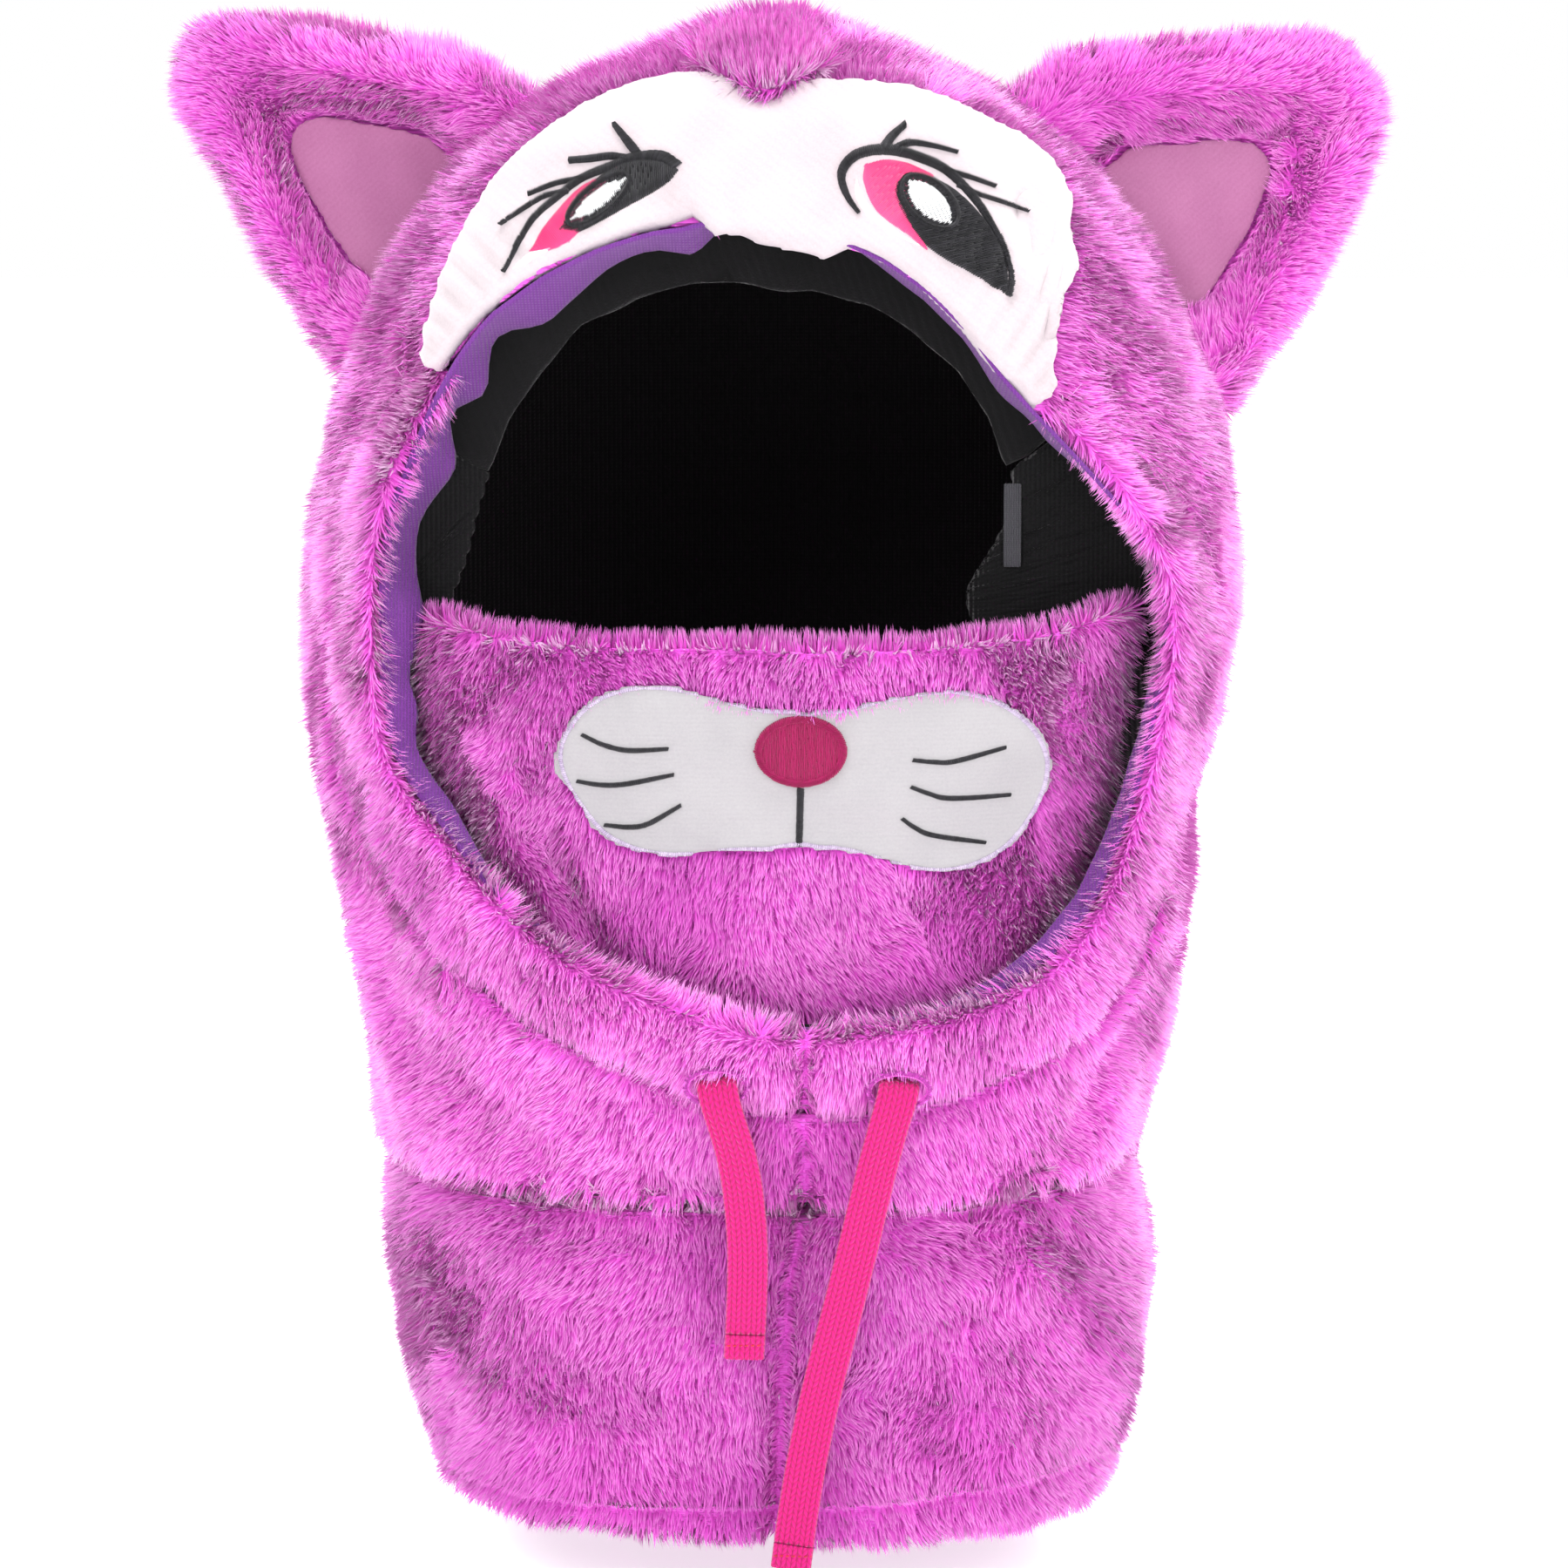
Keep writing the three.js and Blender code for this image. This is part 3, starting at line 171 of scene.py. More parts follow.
class Nodes:
    """A small hand for wiring one material's nodes."""

    def __init__(self, name: str) -> None:
        """Starts an empty principled material.

        Args:
            name: The material's name.
        """
        self.material = bpy.data.materials.new(name)
        self.material.use_nodes = True
        self.tree = self.material.node_tree
        self.shader = self.tree.nodes["Principled BSDF"]

    def add(self, kind: str, inputs: dict | None = None, **settings: object) -> bpy.types.Node:
        """Adds a node.

        Args:
            kind: The node's type, without its ShaderNode prefix.
            inputs: Values or sockets for its inputs, by name or number.
            settings: Properties of the node itself.

        Returns:
            The new node.
        """
        node = self.tree.nodes.new("ShaderNode" + kind)
        for key, value in settings.items():
            setattr(node, key, value)
        for key, value in (inputs or {}).items():
            if isinstance(value, bpy.types.NodeSocket):
                self.tree.links.new(value, node.inputs[key])
            else:
                node.inputs[key].default_value = value
        return node

    def math(self, operation: str, *values: object) -> bpy.types.NodeSocket:
        """Adds a math node and gives its result."""
        return self.add("Math", dict(enumerate(values)), operation=operation).outputs[0]

    def mix(self, share: object, first: object, second: object, how: str = "MIX") -> bpy.types.NodeSocket:
        """Mixes two colours and gives the result."""
        inputs = {0: share, 6: first, 7: second}
        return self.add("Mix", inputs, data_type="RGBA", blend_type=how).outputs[2]

    def ramp(self, share: bpy.types.NodeSocket,
             stops: Sequence[tuple[float, Colour]]) -> bpy.types.NodeSocket:
        """Runs a value through a ramp of colours and gives the result.

        Args:
            share: The value.
            stops: Places from 0 to 1, each with its colour.

        Returns:
            The colour.
        """
        node = self.add("ValToRGB", {0: share})
        elements = node.color_ramp.elements
        while len(elements) < len(stops):
            elements.new(0.5)
        for element, (position, colour) in zip(elements, stops):
            element.position = position
            element.color = (*colour, 1)
        return node.outputs[0]

    def noise(self, scale: float, detail: float = 3.0) -> bpy.types.NodeSocket:
        """Adds noise in the object's own space and gives its value."""
        where = self.add("TexCoord").outputs["Object"]
        return self.add("TexNoise", {"Vector": where, "Scale": scale, "Detail": detail}).outputs[0]

    def bands(self, wavelength: float, turn: tuple[float, float, float],
              wobble: float) -> bpy.types.NodeSocket:
        """Adds straight bands in the object's own space.

        Args:
            wavelength: The spacing of the bands in metres.
            turn: How the bands are turned, in degrees about each axis.
            wobble: How far they stray from straight.

        Returns:
            The bands' value, 0 to 1.
        """
        where = self.add("TexCoord").outputs["Object"]
        angles = tuple(math.radians(a) for a in turn)
        turned = self.add("Mapping", {"Vector": where, "Rotation": angles}).outputs[0]
        scale = math.tau / (20 * wavelength)
        inputs = {"Vector": turned, "Scale": scale, "Distortion": wobble, "Detail Scale": 1.4}
        return self.add("TexWave", inputs).outputs["Fac"]

    def bump(self, height: bpy.types.NodeSocket, depth: float) -> None:
        """Raises the surface by a height of up to depth metres."""
        raised = self.add("Bump", {"Height": height, "Distance": depth, "Strength": 1.0})
        self.tree.links.new(raised.outputs[0], self.shader.inputs["Normal"])

    def surface(self, roughness: float, sheen: float = 0.0, tint: Colour = (1, 1, 1)) -> None:
        """Sets the finish that is the same all over.

        Args:
            roughness: How rough it is, 0 to 1.
            sheen: How strong its sheen is.
            tint: The sheen's colour.
        """
        self.shader.inputs["Roughness"].default_value = roughness
        self.shader.inputs["Specular IOR Level"].default_value = 0.25
        self.shader.inputs["Sheen Weight"].default_value = sheen
        self.shader.inputs["Sheen Roughness"].default_value = 0.5
        self.shader.inputs["Sheen Tint"].default_value = (*tint, 1)

    def colour(self, socket: bpy.types.NodeSocket) -> bpy.types.Material:
        """Wires the base colour and gives the finished material."""
        self.tree.links.new(socket, self.shader.inputs["Base Color"])
        return self.material


@dataclass(frozen=True)
class PlushPile:
    """The tufts: deep at the root as painted shade, paler at the tip, with locks that differ in tone."""

    name: str
    root: Colour
    middle: Colour
    tip: Colour
    shade: Colour

    def material(self) -> bpy.types.Material:
        """Builds the material from the tufts' own colour attribute.

        Returns:
            The material.
        """
        nodes = Nodes(self.name)
        stored = nodes.add("Attribute", attribute_name="tuft").outputs["Color"]
        parts = nodes.add("SeparateColor", {0: stored})
        # Painted shade and light: the deep root stands for shade down in the pile; the pale tip is partly the
        # fibres' own paler ends, partly painted light on the tips.
        along = nodes.ramp(parts.outputs[0], [(0.12, self.root), (0.55, self.middle), (1.0, self.tip)])
        lit = nodes.math("MULTIPLY_ADD", parts.outputs[1], 0.3, 0.86)
        grey = nodes.add("CombineColor", {0: lit, 1: lit, 2: lit}).outputs[0]
        toned = nodes.mix(1.0, along, grey, "MULTIPLY")
        shaded = nodes.mix(parts.outputs[2], toned, (*self.shade, 1))
        nodes.surface(0.62, 0.85, (1.0, 0.84, 1.0))
        return nodes.colour(shaded)


@dataclass(frozen=True)
class KnitBacking:
    """The close knit that a pile grows from."""

    name: str
    deep: Colour
    pale: Colour

    def material(self) -> bpy.types.Material:
        """Builds a fine knit with a mottled colour.

        Returns:
            The material.
        """
        nodes = Nodes(self.name)
        rows = nodes.bands(1.3 * MM, (0, 90, 0), 1.0)
        mottled = nodes.ramp(nodes.noise(160), [(0.3, self.deep), (0.75, self.pale)])
        nodes.bump(rows, 0.4 * MM)
        nodes.surface(0.9, 0.2)
        return nodes.colour(mottled)


@dataclass(frozen=True)
class Velour:
    """Short velour with a faint diagonal wale and brushed patches; its grooves are painted deeper as shade.
    """

    name: str
    pale: Colour
    deep: Colour
    wale: float
    slope: float
    relief: float = 0.3 * MM
    painted_wale_shade: float = 0.14

    def material(self) -> bpy.types.Material:
        """Builds the velour.

        Returns:
            The material.
        """
        nodes = Nodes(self.name)
        wale = nodes.bands(self.wale, (0, self.slope, 0), 1.6)
        grain = nodes.noise(1500, 2)
        patch = nodes.noise(42, 2)
        height = nodes.math("MULTIPLY_ADD", wale, 0.45, nodes.math("MULTIPLY", grain, 0.8))
        # Painted shade: the colour follows the wale and the fine grain that raise the bump, deeper in their
        # grooves; the broad patches are a random tone.
        tone = nodes.math("MULTIPLY_ADD", wale, self.painted_wale_shade, nodes.math("MULTIPLY", grain, 0.4))
        tone = nodes.math("MULTIPLY_ADD", patch, 0.5, tone)
        nodes.bump(height, self.relief)
        nodes.surface(0.88, 0.25)
        return nodes.colour(nodes.ramp(tone, [(0.3, self.deep), (0.72, self.pale)]))


@dataclass(frozen=True)
class Jersey:
    """Plain jersey with fine upright wales and rows across them, coloured deeper in their grooves as painted
    shade.
    """

    name: str
    pale: Colour
    deep: Colour
    wale: float
    slope: float = 0.0

    def material(self) -> bpy.types.Material:
        """Builds the jersey.

        Returns:
            The material.
        """
        nodes = Nodes(self.name)
        wale = nodes.bands(self.wale, (0, self.slope, 0), 0.4)
        row = nodes.bands(self.wale * 0.8, (0, 90 + self.slope, 0), 0.6)
        height = nodes.math("MULTIPLY", wale, nodes.math("MULTIPLY_ADD", row, 0.5, 0.5))
        nodes.bump(height, 0.3 * MM)
        nodes.surface(0.8, 0.15)
        # Painted shade: the colour follows the bump's height, deeper in the knit's grooves, mixed with a
        # random mottle.
        tone = nodes.math("MULTIPLY_ADD", height, 0.5, nodes.math("MULTIPLY", nodes.noise(60, 2), 0.5))
        return nodes.colour(nodes.ramp(tone, [(0.2, self.deep), (0.75, self.pale)]))


@dataclass(frozen=True)
class EmbroideryThread:
    """Glossy thread whose tone changes a little from stitch to stitch and along each one."""

    name: str
    pale: Colour
    deep: Colour

    def material(self) -> bpy.types.Material:
        """Builds the thread from the stitches' own colour attribute.

        Returns:
            The material.
        """
        nodes = Nodes(self.name)
        stored = nodes.add("Attribute", attribute_name="stitch").outputs["Color"]
        tone = nodes.add("SeparateColor", {0: stored}).outputs[0]
        nodes.bump(nodes.noise(5200, 2), 0.06 * MM)
        nodes.surface(0.42, 0.2)
        return nodes.colour(nodes.ramp(tone, [(0.0, self.deep), (1.0, self.pale)]))


@dataclass(frozen=True)
class Braid:
    """A flat braided tape: chevrons of stitches in upright columns."""

    name: str
    pale: Colour
    deep: Colour
    columns: int
    stitch: float

    def material(self) -> bpy.types.Material:
        """Builds the braid on the tape's UV map, across in columns and along in metres.

        Returns:
            The material.
        """
        nodes = Nodes(self.name)
        where = nodes.add("SeparateXYZ", {0: nodes.add("UVMap", uv_map="tape").outputs[0]})
        column = nodes.math("MULTIPLY", where.outputs[0], float(self.columns))
        slant = nodes.math("PINGPONG", column, 1.0)
        lean = nodes.math("MULTIPLY", slant, 0.85)
        run = nodes.math("MULTIPLY_ADD", where.outputs[1], 1 / self.stitch, lean)
        loop = nodes.math("MULTIPLY_ADD", nodes.math("SINE", nodes.math("MULTIPLY", run, math.tau)), 0.5, 0.5)
        dip = nodes.math("ABSOLUTE", nodes.math("SINE", nodes.math("MULTIPLY", column, math.pi)))
        loops = nodes.math("MULTIPLY_ADD", loop, 0.7, 0.3)
        height = nodes.math("MULTIPLY", loops, nodes.math("POWER", dip, 0.6))
        nodes.bump(height, 0.45 * MM)
        nodes.surface(0.66, 0.3, (1.0, 0.6, 0.85))
        # Painted shade: the colour follows the bump's height, deeper between the loops and the columns.
        return nodes.colour(nodes.ramp(height, [(0.05, self.deep), (0.6, self.pale)]))


class Finishes:
    """Every finish of the balaclava, built once."""

    def __init__(self) -> None:
        """Builds the materials."""
        # The deep root colour is painted shade down in the pile; the paler tips are partly painted light.
        root = srgb(214, 68, 194)
        shade = srgb(198, 52, 180)
        self.pile = PlushPile("plush_pile", root, srgb(220, 90, 200), srgb(240, 158, 226), shade).material()
        # A darker copy of the same plush, painted shade for the mask recessed in the opening; the neck tube
        # wears it too.
        self.shaded_pile = PlushPile(
            "plush_pile_painted_shade", root, srgb(206, 80, 188), srgb(228, 144, 214), shade).material()
        self.backing = KnitBacking("plush_backing", srgb(222, 78, 206), srgb(238, 108, 224)).material()
        self.cream = Velour(
            "cream_velour", srgb(192, 182, 185), srgb(176, 164, 169), 2.3 * MM, 52, 0.08 * MM, 0.06,
        ).material()
        self.white = Velour(
            "white_velour", srgb(162, 159, 161), srgb(149, 146, 149), 1.3 * MM, 90, 0.06 * MM, 0.05,
        ).material()
        self.lilac = Velour(
            "lilac_velour", srgb(165, 108, 143), srgb(147, 90, 127), 1.6 * MM, -48, 0.05 * MM, 0.05,
        ).material()
        self.purple = Jersey("purple_jersey", srgb(114, 55, 138), srgb(100, 45, 125), 0.9 * MM).material()
        self.black = Jersey("black_knit", srgb(14, 14, 16), srgb(5, 5, 6), 1.4 * MM).material()
        self.brushed = Velour("black_brushed", srgb(14, 14, 16), srgb(6, 6, 7), 2.6 * MM, 20).material()
        # Painted shade: the label is white tape, coloured dark grey for the shade inside the hood.
        self.label = Jersey("blank_label_tape", srgb(84, 84, 88), srgb(66, 66, 70), 0.7 * MM).material()
        self.black_thread = EmbroideryThread("black_thread", srgb(52, 50, 56), srgb(14, 14, 17)).material()
        self.white_thread = EmbroideryThread(
            "white_thread", srgb(255, 255, 255), srgb(246, 246, 250)).material()
        self.iris_thread = EmbroideryThread("iris_thread", srgb(244, 96, 150), srgb(216, 0, 104)).material()
        self.nose_thread = EmbroideryThread("nose_thread", srgb(168, 0, 92), srgb(134, 0, 68)).material()
        self.edge_thread = EmbroideryThread(
            "edge_thread", srgb(206, 194, 212), srgb(160, 142, 172)).material()
        self.seam_thread = EmbroideryThread("seam_thread", srgb(206, 44, 60), srgb(150, 20, 50)).material()
        self.hole_thread = EmbroideryThread("hole_thread", srgb(198, 70, 180), srgb(132, 24, 122)).material()
        self.cord = Braid("cord_braid", srgb(202, 4, 114), srgb(148, 0, 74), 8, 1.9 * MM).material()


def deselect() -> None:
    """Deselects every object."""
    for other in bpy.context.view_layer.objects:
        other.select_set(False)


def activate(piece: bpy.types.Object) -> None:
    """Selects one piece alone and makes it active.

    Args:
        piece: The piece.
    """
    deselect()
    piece.select_set(True)
    bpy.context.view_layer.objects.active = piece


def modify(piece: bpy.types.Object, kind: str, **settings: object) -> None:
    """Adds a modifier and applies it.

    Args:
        piece: The piece to change.
        kind: The modifier's type.
        settings: Its properties.
    """
    activate(piece)
    modifier = piece.modifiers.new(kind.lower(), kind)
    for key, value in settings.items():
        setattr(modifier, key, value)
    bpy.ops.object.modifier_apply(modifier=modifier.name)


def linked(name: str, data: bpy.types.ID) -> bpy.types.Object:
    """Puts an object round its data into the scene.

    Args:
        name: The object's name.
        data: Its mesh, camera or light.

    Returns:
        The object.
    """
    made = bpy.data.objects.new(name, data)
    bpy.context.scene.collection.objects.link(made)
    return made


def merged_copy(node: str, name: str) -> bpy.types.Object:
    """Copies a CAD node's mesh as a new piece with its loose triangles joined up.

    Args:
        node: The CAD node.
        name: The new piece's name.

    Returns:
        The new piece.
    """
    mesh = bpy.data.objects[node].data.copy()
    mesh.name = name
    mesh.materials.clear()
    piece = linked(name, mesh)
    work = bmesh.new()
    work.from_mesh(mesh)
    bmesh.ops.remove_doubles(work, verts=work.verts, dist=2e-6)
    work.to_mesh(mesh)
    work.free()
    return piece


def rows(items: bpy.types.bpy_prop_collection, vector: str) -> Points:
    """Reads one vector of each item of a mesh.

    Args:
        items: The mesh's vertices or their normals.
        vector: The vector's name.

    Returns:
        One row for each item.
    """
    flat = np.empty(len(items) * 3, np.float32)
    items.foreach_get(vector, flat)
    return flat.reshape(-1, 3).astype(float)


def read_points(piece: bpy.types.Object) -> Points:
    """Gives a piece's vertices as rows."""
    return rows(piece.data.vertices, "co")


def read_normals(piece: bpy.types.Object) -> Points:
    """Gives a piece's vertex normals as rows."""
    return rows(piece.data.vertex_normals, "vector")


def write_points(piece: bpy.types.Object, points: Points) -> None:
    """Puts a piece's vertices where the rows say."""
    piece.data.vertices.foreach_set("co", points.astype(np.float32).ravel())
    piece.data.update()


def piece_from(name: str, points: Points, faces: Points) -> bpy.types.Object:
    """Makes a piece from arrays.

    Args:
        name: The piece's name.
        points: Its vertices, one row each.
        faces: Vertex numbers of its faces, all with as many corners.

    Returns:
        The new piece, with smooth faces.
    """
    mesh = bpy.data.meshes.new(name)
    count, corners = faces.shape
    mesh.vertices.add(len(points))
    mesh.vertices.foreach_set("co", points.astype(np.float32).ravel())
    mesh.loops.add(count * corners)
    mesh.loops.foreach_set("vertex_index", faces.astype(np.int32).ravel())
    mesh.polygons.add(count)
    mesh.polygons.foreach_set("loop_start", np.arange(0, count * corners, corners, dtype=np.int32))
    mesh.polygons.foreach_set("use_smooth", np.ones(count, bool))
    mesh.update(calc_edges=True)
    return linked(name, mesh)


def paint(piece: bpy.types.Object, attribute: str, values: Points) -> None:
    """Stores up to three values per vertex as a colour attribute.

    Args:
        piece: The piece.
        attribute: The attribute's name.
        values: The values, one row for each vertex.
    """
    colours = np.ones((len(values), 4), np.float32)
    colours[:, :values.shape[1]] = values
    stored = piece.data.color_attributes.new(name=attribute, type="FLOAT_COLOR", domain="POINT")
    stored.data.foreach_set("color", colours.ravel())


def dress(piece: bpy.types.Object, material: bpy.types.Material,
          stands_for: Sequence[str] = ()) -> bpy.types.Object:
    """Gives a piece its finish, its body and its place in the frame.

    Args:
        piece: The finished piece.
        material: Its Blender material.
        stands_for: The CAD nodes that it replaces.

    Returns:
        The piece.
    """
    piece.data.materials.clear()
    piece.data.materials.append(material)
    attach(piece, BODY)
    if stands_for:
        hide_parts(*stands_for)
    LOG.info("%s: %d faces", piece.name, len(piece.data.polygons))
    return piece


def relax(piece: bpy.types.Object, rounds: int) -> None:
    """Evens a mesh out without shrinking it: each round smooths it, then swells it back.

    Args:
        piece: The mesh to even out.
        rounds: How many rounds it gets.
    """
    ends = np.empty(len(piece.data.edges) * 2, np.int32)
    piece.data.edges.foreach_get("vertices", ends)
    one, other = ends.reshape(-1, 2).T
    points = read_points(piece)
    links = np.maximum(np.bincount(ends, minlength=len(points)), 1)[:, None]
    for pull in (0.5, -0.52) * rounds:
        total = np.zeros_like(points)
        np.add.at(total, one, points[other])
        np.add.at(total, other, points[one])
        points += pull * (total / links - points)
    write_points(piece, points)


def smooth_faces(piece: bpy.types.Object) -> None:
    """Shades every face of a piece smooth."""
    piece.data.polygons.foreach_set("use_smooth", np.ones(len(piece.data.polygons), bool))
    piece.data.update()


def remeshed(node: str, name: str, voxel: float, rounds: int) -> bpy.types.Object:
    """Makes an even mesh of a CAD sheet and softens its edges.

    Args:
        node: The sheet's node.
        name: The new piece's name.
        voxel: The size of the mesh's faces.
        rounds: How often it is smoothed.

    Returns:
        The new piece.
    """
    piece = merged_copy(node, name)
    modify(piece, "REMESH", mode="VOXEL", voxel_size=voxel)
    modify(piece, "SMOOTH", factor=0.5, iterations=rounds)
    return piece


def ripple(piece: bpy.types.Object, height: float, size: float, seed: int) -> None:
    """Lifts a sheet's surface in soft waves.

    Args:
        piece: The sheet.
        height: How high the waves are.
        size: How long they are.
        seed: Chooses the pattern.
    """
    points, normals = read_points(piece), read_normals(piece)
    lift = height * waves(points, size, seed)[:, :1]
    write_points(piece, points + normals * lift)


class Cloth:
    """A piece's surface, to lay things on or to keep clear of."""

    BEFORE_ALL = -400 * MM

    def __init__(self, *pieces: bpy.types.Object) -> None:
        """Reads the pieces' meshes into one search tree."""
        points: list[Vector] = []
        faces: list[list[int]] = []
        for piece in pieces:
            start = len(points)
            points.extend(v.co.copy() for v in piece.data.vertices)
            faces.extend([start + v for v in p.vertices] for p in piece.data.polygons)
        self.tree = BVHTree.FromPolygons(points, faces)
        spread = np.array([tuple(p) for p in points])
        self.low = spread.min(axis=0)
        self.high = spread.max(axis=0)

    def front(self, x: float, z: float) -> tuple[Vector, Vector] | None:
        """Finds the front of the cloth behind a place seen from the front.

        Args:
            x: Across.
            z: Up.

        Returns:
            The point and its normal, or None where there is no cloth.
        """
        point, normal, _, _ = self.tree.ray_cast(Vector((x, self.BEFORE_ALL, z)), Vector((0, 1, 0)))
        if point is None:
            return None
        return point, (normal if normal.y < 0 else -normal)

    def close(self, points: Points, reach: float) -> Points:
        """Numbers the points that are within a reach of this cloth's box."""
        return np.flatnonzero(np.all((points > self.low - reach) & (points < self.high + reach), axis=1))

    def covers(self, points: Points, normals: Points, reach: float) -> Points:
        """Says which points have this cloth over them.

        Args:
            points: The points, one row each.
            normals: The ways to look from them.
            reach: How far to look.

        Returns:
            True for each point that is covered.
        """
        covered = np.zeros(len(points), bool)
        for i in self.close(points, reach):
            hit = self.tree.ray_cast(Vector(points[i]), Vector(normals[i]), reach)
            covered[i] = hit[0] is not None
        return covered

    def distance(self, points: Points, reach: float) -> Points:
        """Measures how far points are from this cloth.

        Args:
            points: The points, one row each.
            reach: The most that is measured.

        Returns:
            Each point's distance.
        """
        gaps = np.full(len(points), reach)
        for i in self.close(points, reach):
            found = self.tree.find_nearest(Vector(points[i]), reach)
            gaps[i] = reach if found[0] is None else found[3]
        return gaps


@dataclass(frozen=True)
class Line:
    """A seam or a fold, as places seen from the front, with its spread and its rise, in millimetres."""

    places: tuple[Place, ...]
    spread: float
    rise: float
    behind: bool = False

    def nearness(self, points: Points) -> tuple[Points, Points]:
        """Finds how near the points on its side lie.

        Args:
            points: Where to read it.

        Returns:
            The nearness of each point, 1 on the line, and the way from the line to it.
        """
        gap, away = distance_to(points[:, [0, 2]], np.array(self.places) * MM)
        side = (points[:, 1] > 0) if self.behind else (points[:, 1] < 0)
        return np.exp(-(gap / (self.spread * MM)) ** 2) * side, away


class Nap(Enum):
    """Which way a pile is brushed."""

    FROM_CROWN = "down the hood from its crown"
    DOWN = "straight down"
    OVER_EDGE = "forwards over a top edge and down"
    OUT_OF_EAR = "from an ear's base to its tip"


def brushed(nap: Nap, points: Points) -> Points:
    """Gives the direction of the nap before it is laid in the surface.

    Args:
        nap: The way the pile is brushed.
        points: Where to read it.

    Returns:
        A direction for each point.
    """
    down = np.tile([0.0, 0.0, -1.0], (len(points), 1))
    if nap is Nap.FROM_CROWN:
        out = points * [1.0, 1.0, 0.0]
        return unit(out) * 0.55 + down
    if nap is Nap.OUT_OF_EAR:
        side = np.sign(points[:, :1])
        return np.hstack([side * 0.85, np.zeros_like(side), np.full_like(side, 0.55)])
    if nap is Nap.OVER_EDGE:
        return down + [0.0, -0.7, 0.0]
    return down


@dataclass
class Pile:
    """A pile of tufts, each a narrow pointed blade, gathered a little into locks.

    The density is in tufts for each square millimetre, and the lean in degrees from upright.
    """

    COVERED_WITHIN = 13 * MM
    CLEAR_BY = 1.3 * MM
    SHORTER_AT_SEAM = 0.35
    PARTING = 0.85
    DRIFT_SIZE = 70 * MM
    SWIRL_SIZE = 20 * MM
    LENGTH_SIZE = 30 * MM
    TONE_SIZE = 38 * MM
    SHADE_SIZE = 75 * MM
    SHADE_MOST = 0.42
    LOCK_PULL = 0.24
    LOCK_PULL_MOST = 2.0 * MM
    LOCK_TONES = 4093

    name: str
    nap: Nap
    seed: int
    density: float = 2.0
    length: float = 6.6 * MM
    width: float = 0.85 * MM
    lean: float = 43.0
    lock: float = 4.4 * MM
    stray: float = 0.5
    parts: int = 1

    def grow(self, backing: bpy.types.Object, want: Callable[[Points, Points], Points],
             under: Sequence[Cloth] = (), seams: Sequence[Line] = ()) -> list[bpy.types.Object]:
        """Grows the pile on a backing.

        Args:
            backing: The mesh that it grows from.
            want: Gives the share of the full density, from points and normals.
            under: Cloths that lie on the backing, where nothing grows.
            seams: Lines that part the pile.

        Returns:
            The pile, in as many pieces as it has parts.
        """
        rng = np.random.default_rng(self.seed)
        roots, normals = self.scatter(backing, want, rng)
        hidden = np.zeros(len(roots), bool)
        for cloth in under:
            touched = cloth.distance(roots, 2 * MM) < self.CLEAR_BY
            hidden |= cloth.covers(roots, normals, self.COVERED_WITHIN) | touched
        roots, normals = roots[~hidden], normals[~hidden]
        heading, length = self.heading(roots, normals, rng)
        for seam in seams:
            away, fade = self.parting(seam, roots, normals)
            heading = heading * (1 - fade) + away * fade
            length *= 1 - self.SHORTER_AT_SEAM * fade[:, 0]
        return self.blades(roots, normals, heading, length, rng)

    def scatter(self, backing: bpy.types.Object, want: Callable[[Points, Points], Points],
                rng: np.random.Generator) -> tuple[Points, Points]:
        """Chooses roots over the backing, with the backing's normals there.

        Args:
            backing: The mesh that the pile grows from.
            want: Gives the share of the full density, from points and normals.
            rng: Draws the places.

        Returns:
            The tufts' roots and the normals there.
        """
        mesh = backing.data
        mesh.calc_loop_triangles()
        corners = np.empty(len(mesh.loop_triangles) * 3, np.int32)
        mesh.loop_triangles.foreach_get("vertices", corners)
        corners = corners.reshape(-1, 3)
        points, normals = read_points(backing), read_normals(backing)
        a, b, c = (points[corners[:, i]] for i in range(3))
        area = 0.5 * np.linalg.norm(np.cross(b - a, c - a), axis=1)
        middle_normals = unit(normals[corners].sum(axis=1))
        weight = area * want((a + b + c) / 3, middle_normals)
        count = int(weight.sum() * 1e6 * self.density)
        chosen = rng.choice(len(area), size=count, p=weight / weight.sum())
        u, v = rng.random((2, count, 1))
        over = (u + v) > 1
        u, v = np.where(over, 1 - u, u), np.where(over, 1 - v, v)
        roots = a[chosen] + u * (b - a)[chosen] + v * (c - a)[chosen]
        na, nb, nc = (normals[corners[chosen, i]] for i in range(3))
        return roots, unit(na * (1 - u - v) + nb * u + nc * v)

    def heading(self, roots: Points, normals: Points, rng: np.random.Generator) -> tuple[Points, Points]:
        """Lays the nap in the surface and gives each tuft's direction and length.

        Args:
            roots: Where the tufts stand.
            normals: The backing's normals there.
            rng: Draws what differs from tuft to tuft.

        Returns:
            Each tuft's direction and its length.
        """
        nap = brushed(self.nap, roots) + self.stray * waves(roots, self.DRIFT_SIZE, self.seed + 1)
        nap += 0.3 * waves(roots, self.SWIRL_SIZE, self.seed + 2)
        nap -= normals * np.sum(nap * normals, axis=1, keepdims=True)
        nap = unit(nap) + 0.15 * rng.normal(size=nap.shape)
        length = self.length * rng.uniform(0.8, 1.1, len(roots))
        return nap, length * (1 + 0.1 * waves(roots, self.LENGTH_SIZE, self.seed + 3)[:, 0])

    def parting(self, seam: Line, roots: Points, normals: Points) -> tuple[Points, Points]:
        """Turns tufts away from a seam, by how near it they stand.

        Args:
            seam: The seam.
            roots: Where the tufts stand.
            normals: The backing's normals there.

        Returns:
            The way from the seam and how much each tuft takes of it.
        """
        near, away = seam.nearness(roots)
        flat = np.stack([away[:, 0], np.zeros(len(roots)), away[:, 1]], axis=1)
        flat -= normals * np.sum(flat * normals, axis=1, keepdims=True)
        return unit(flat), self.PARTING * near[:, None]

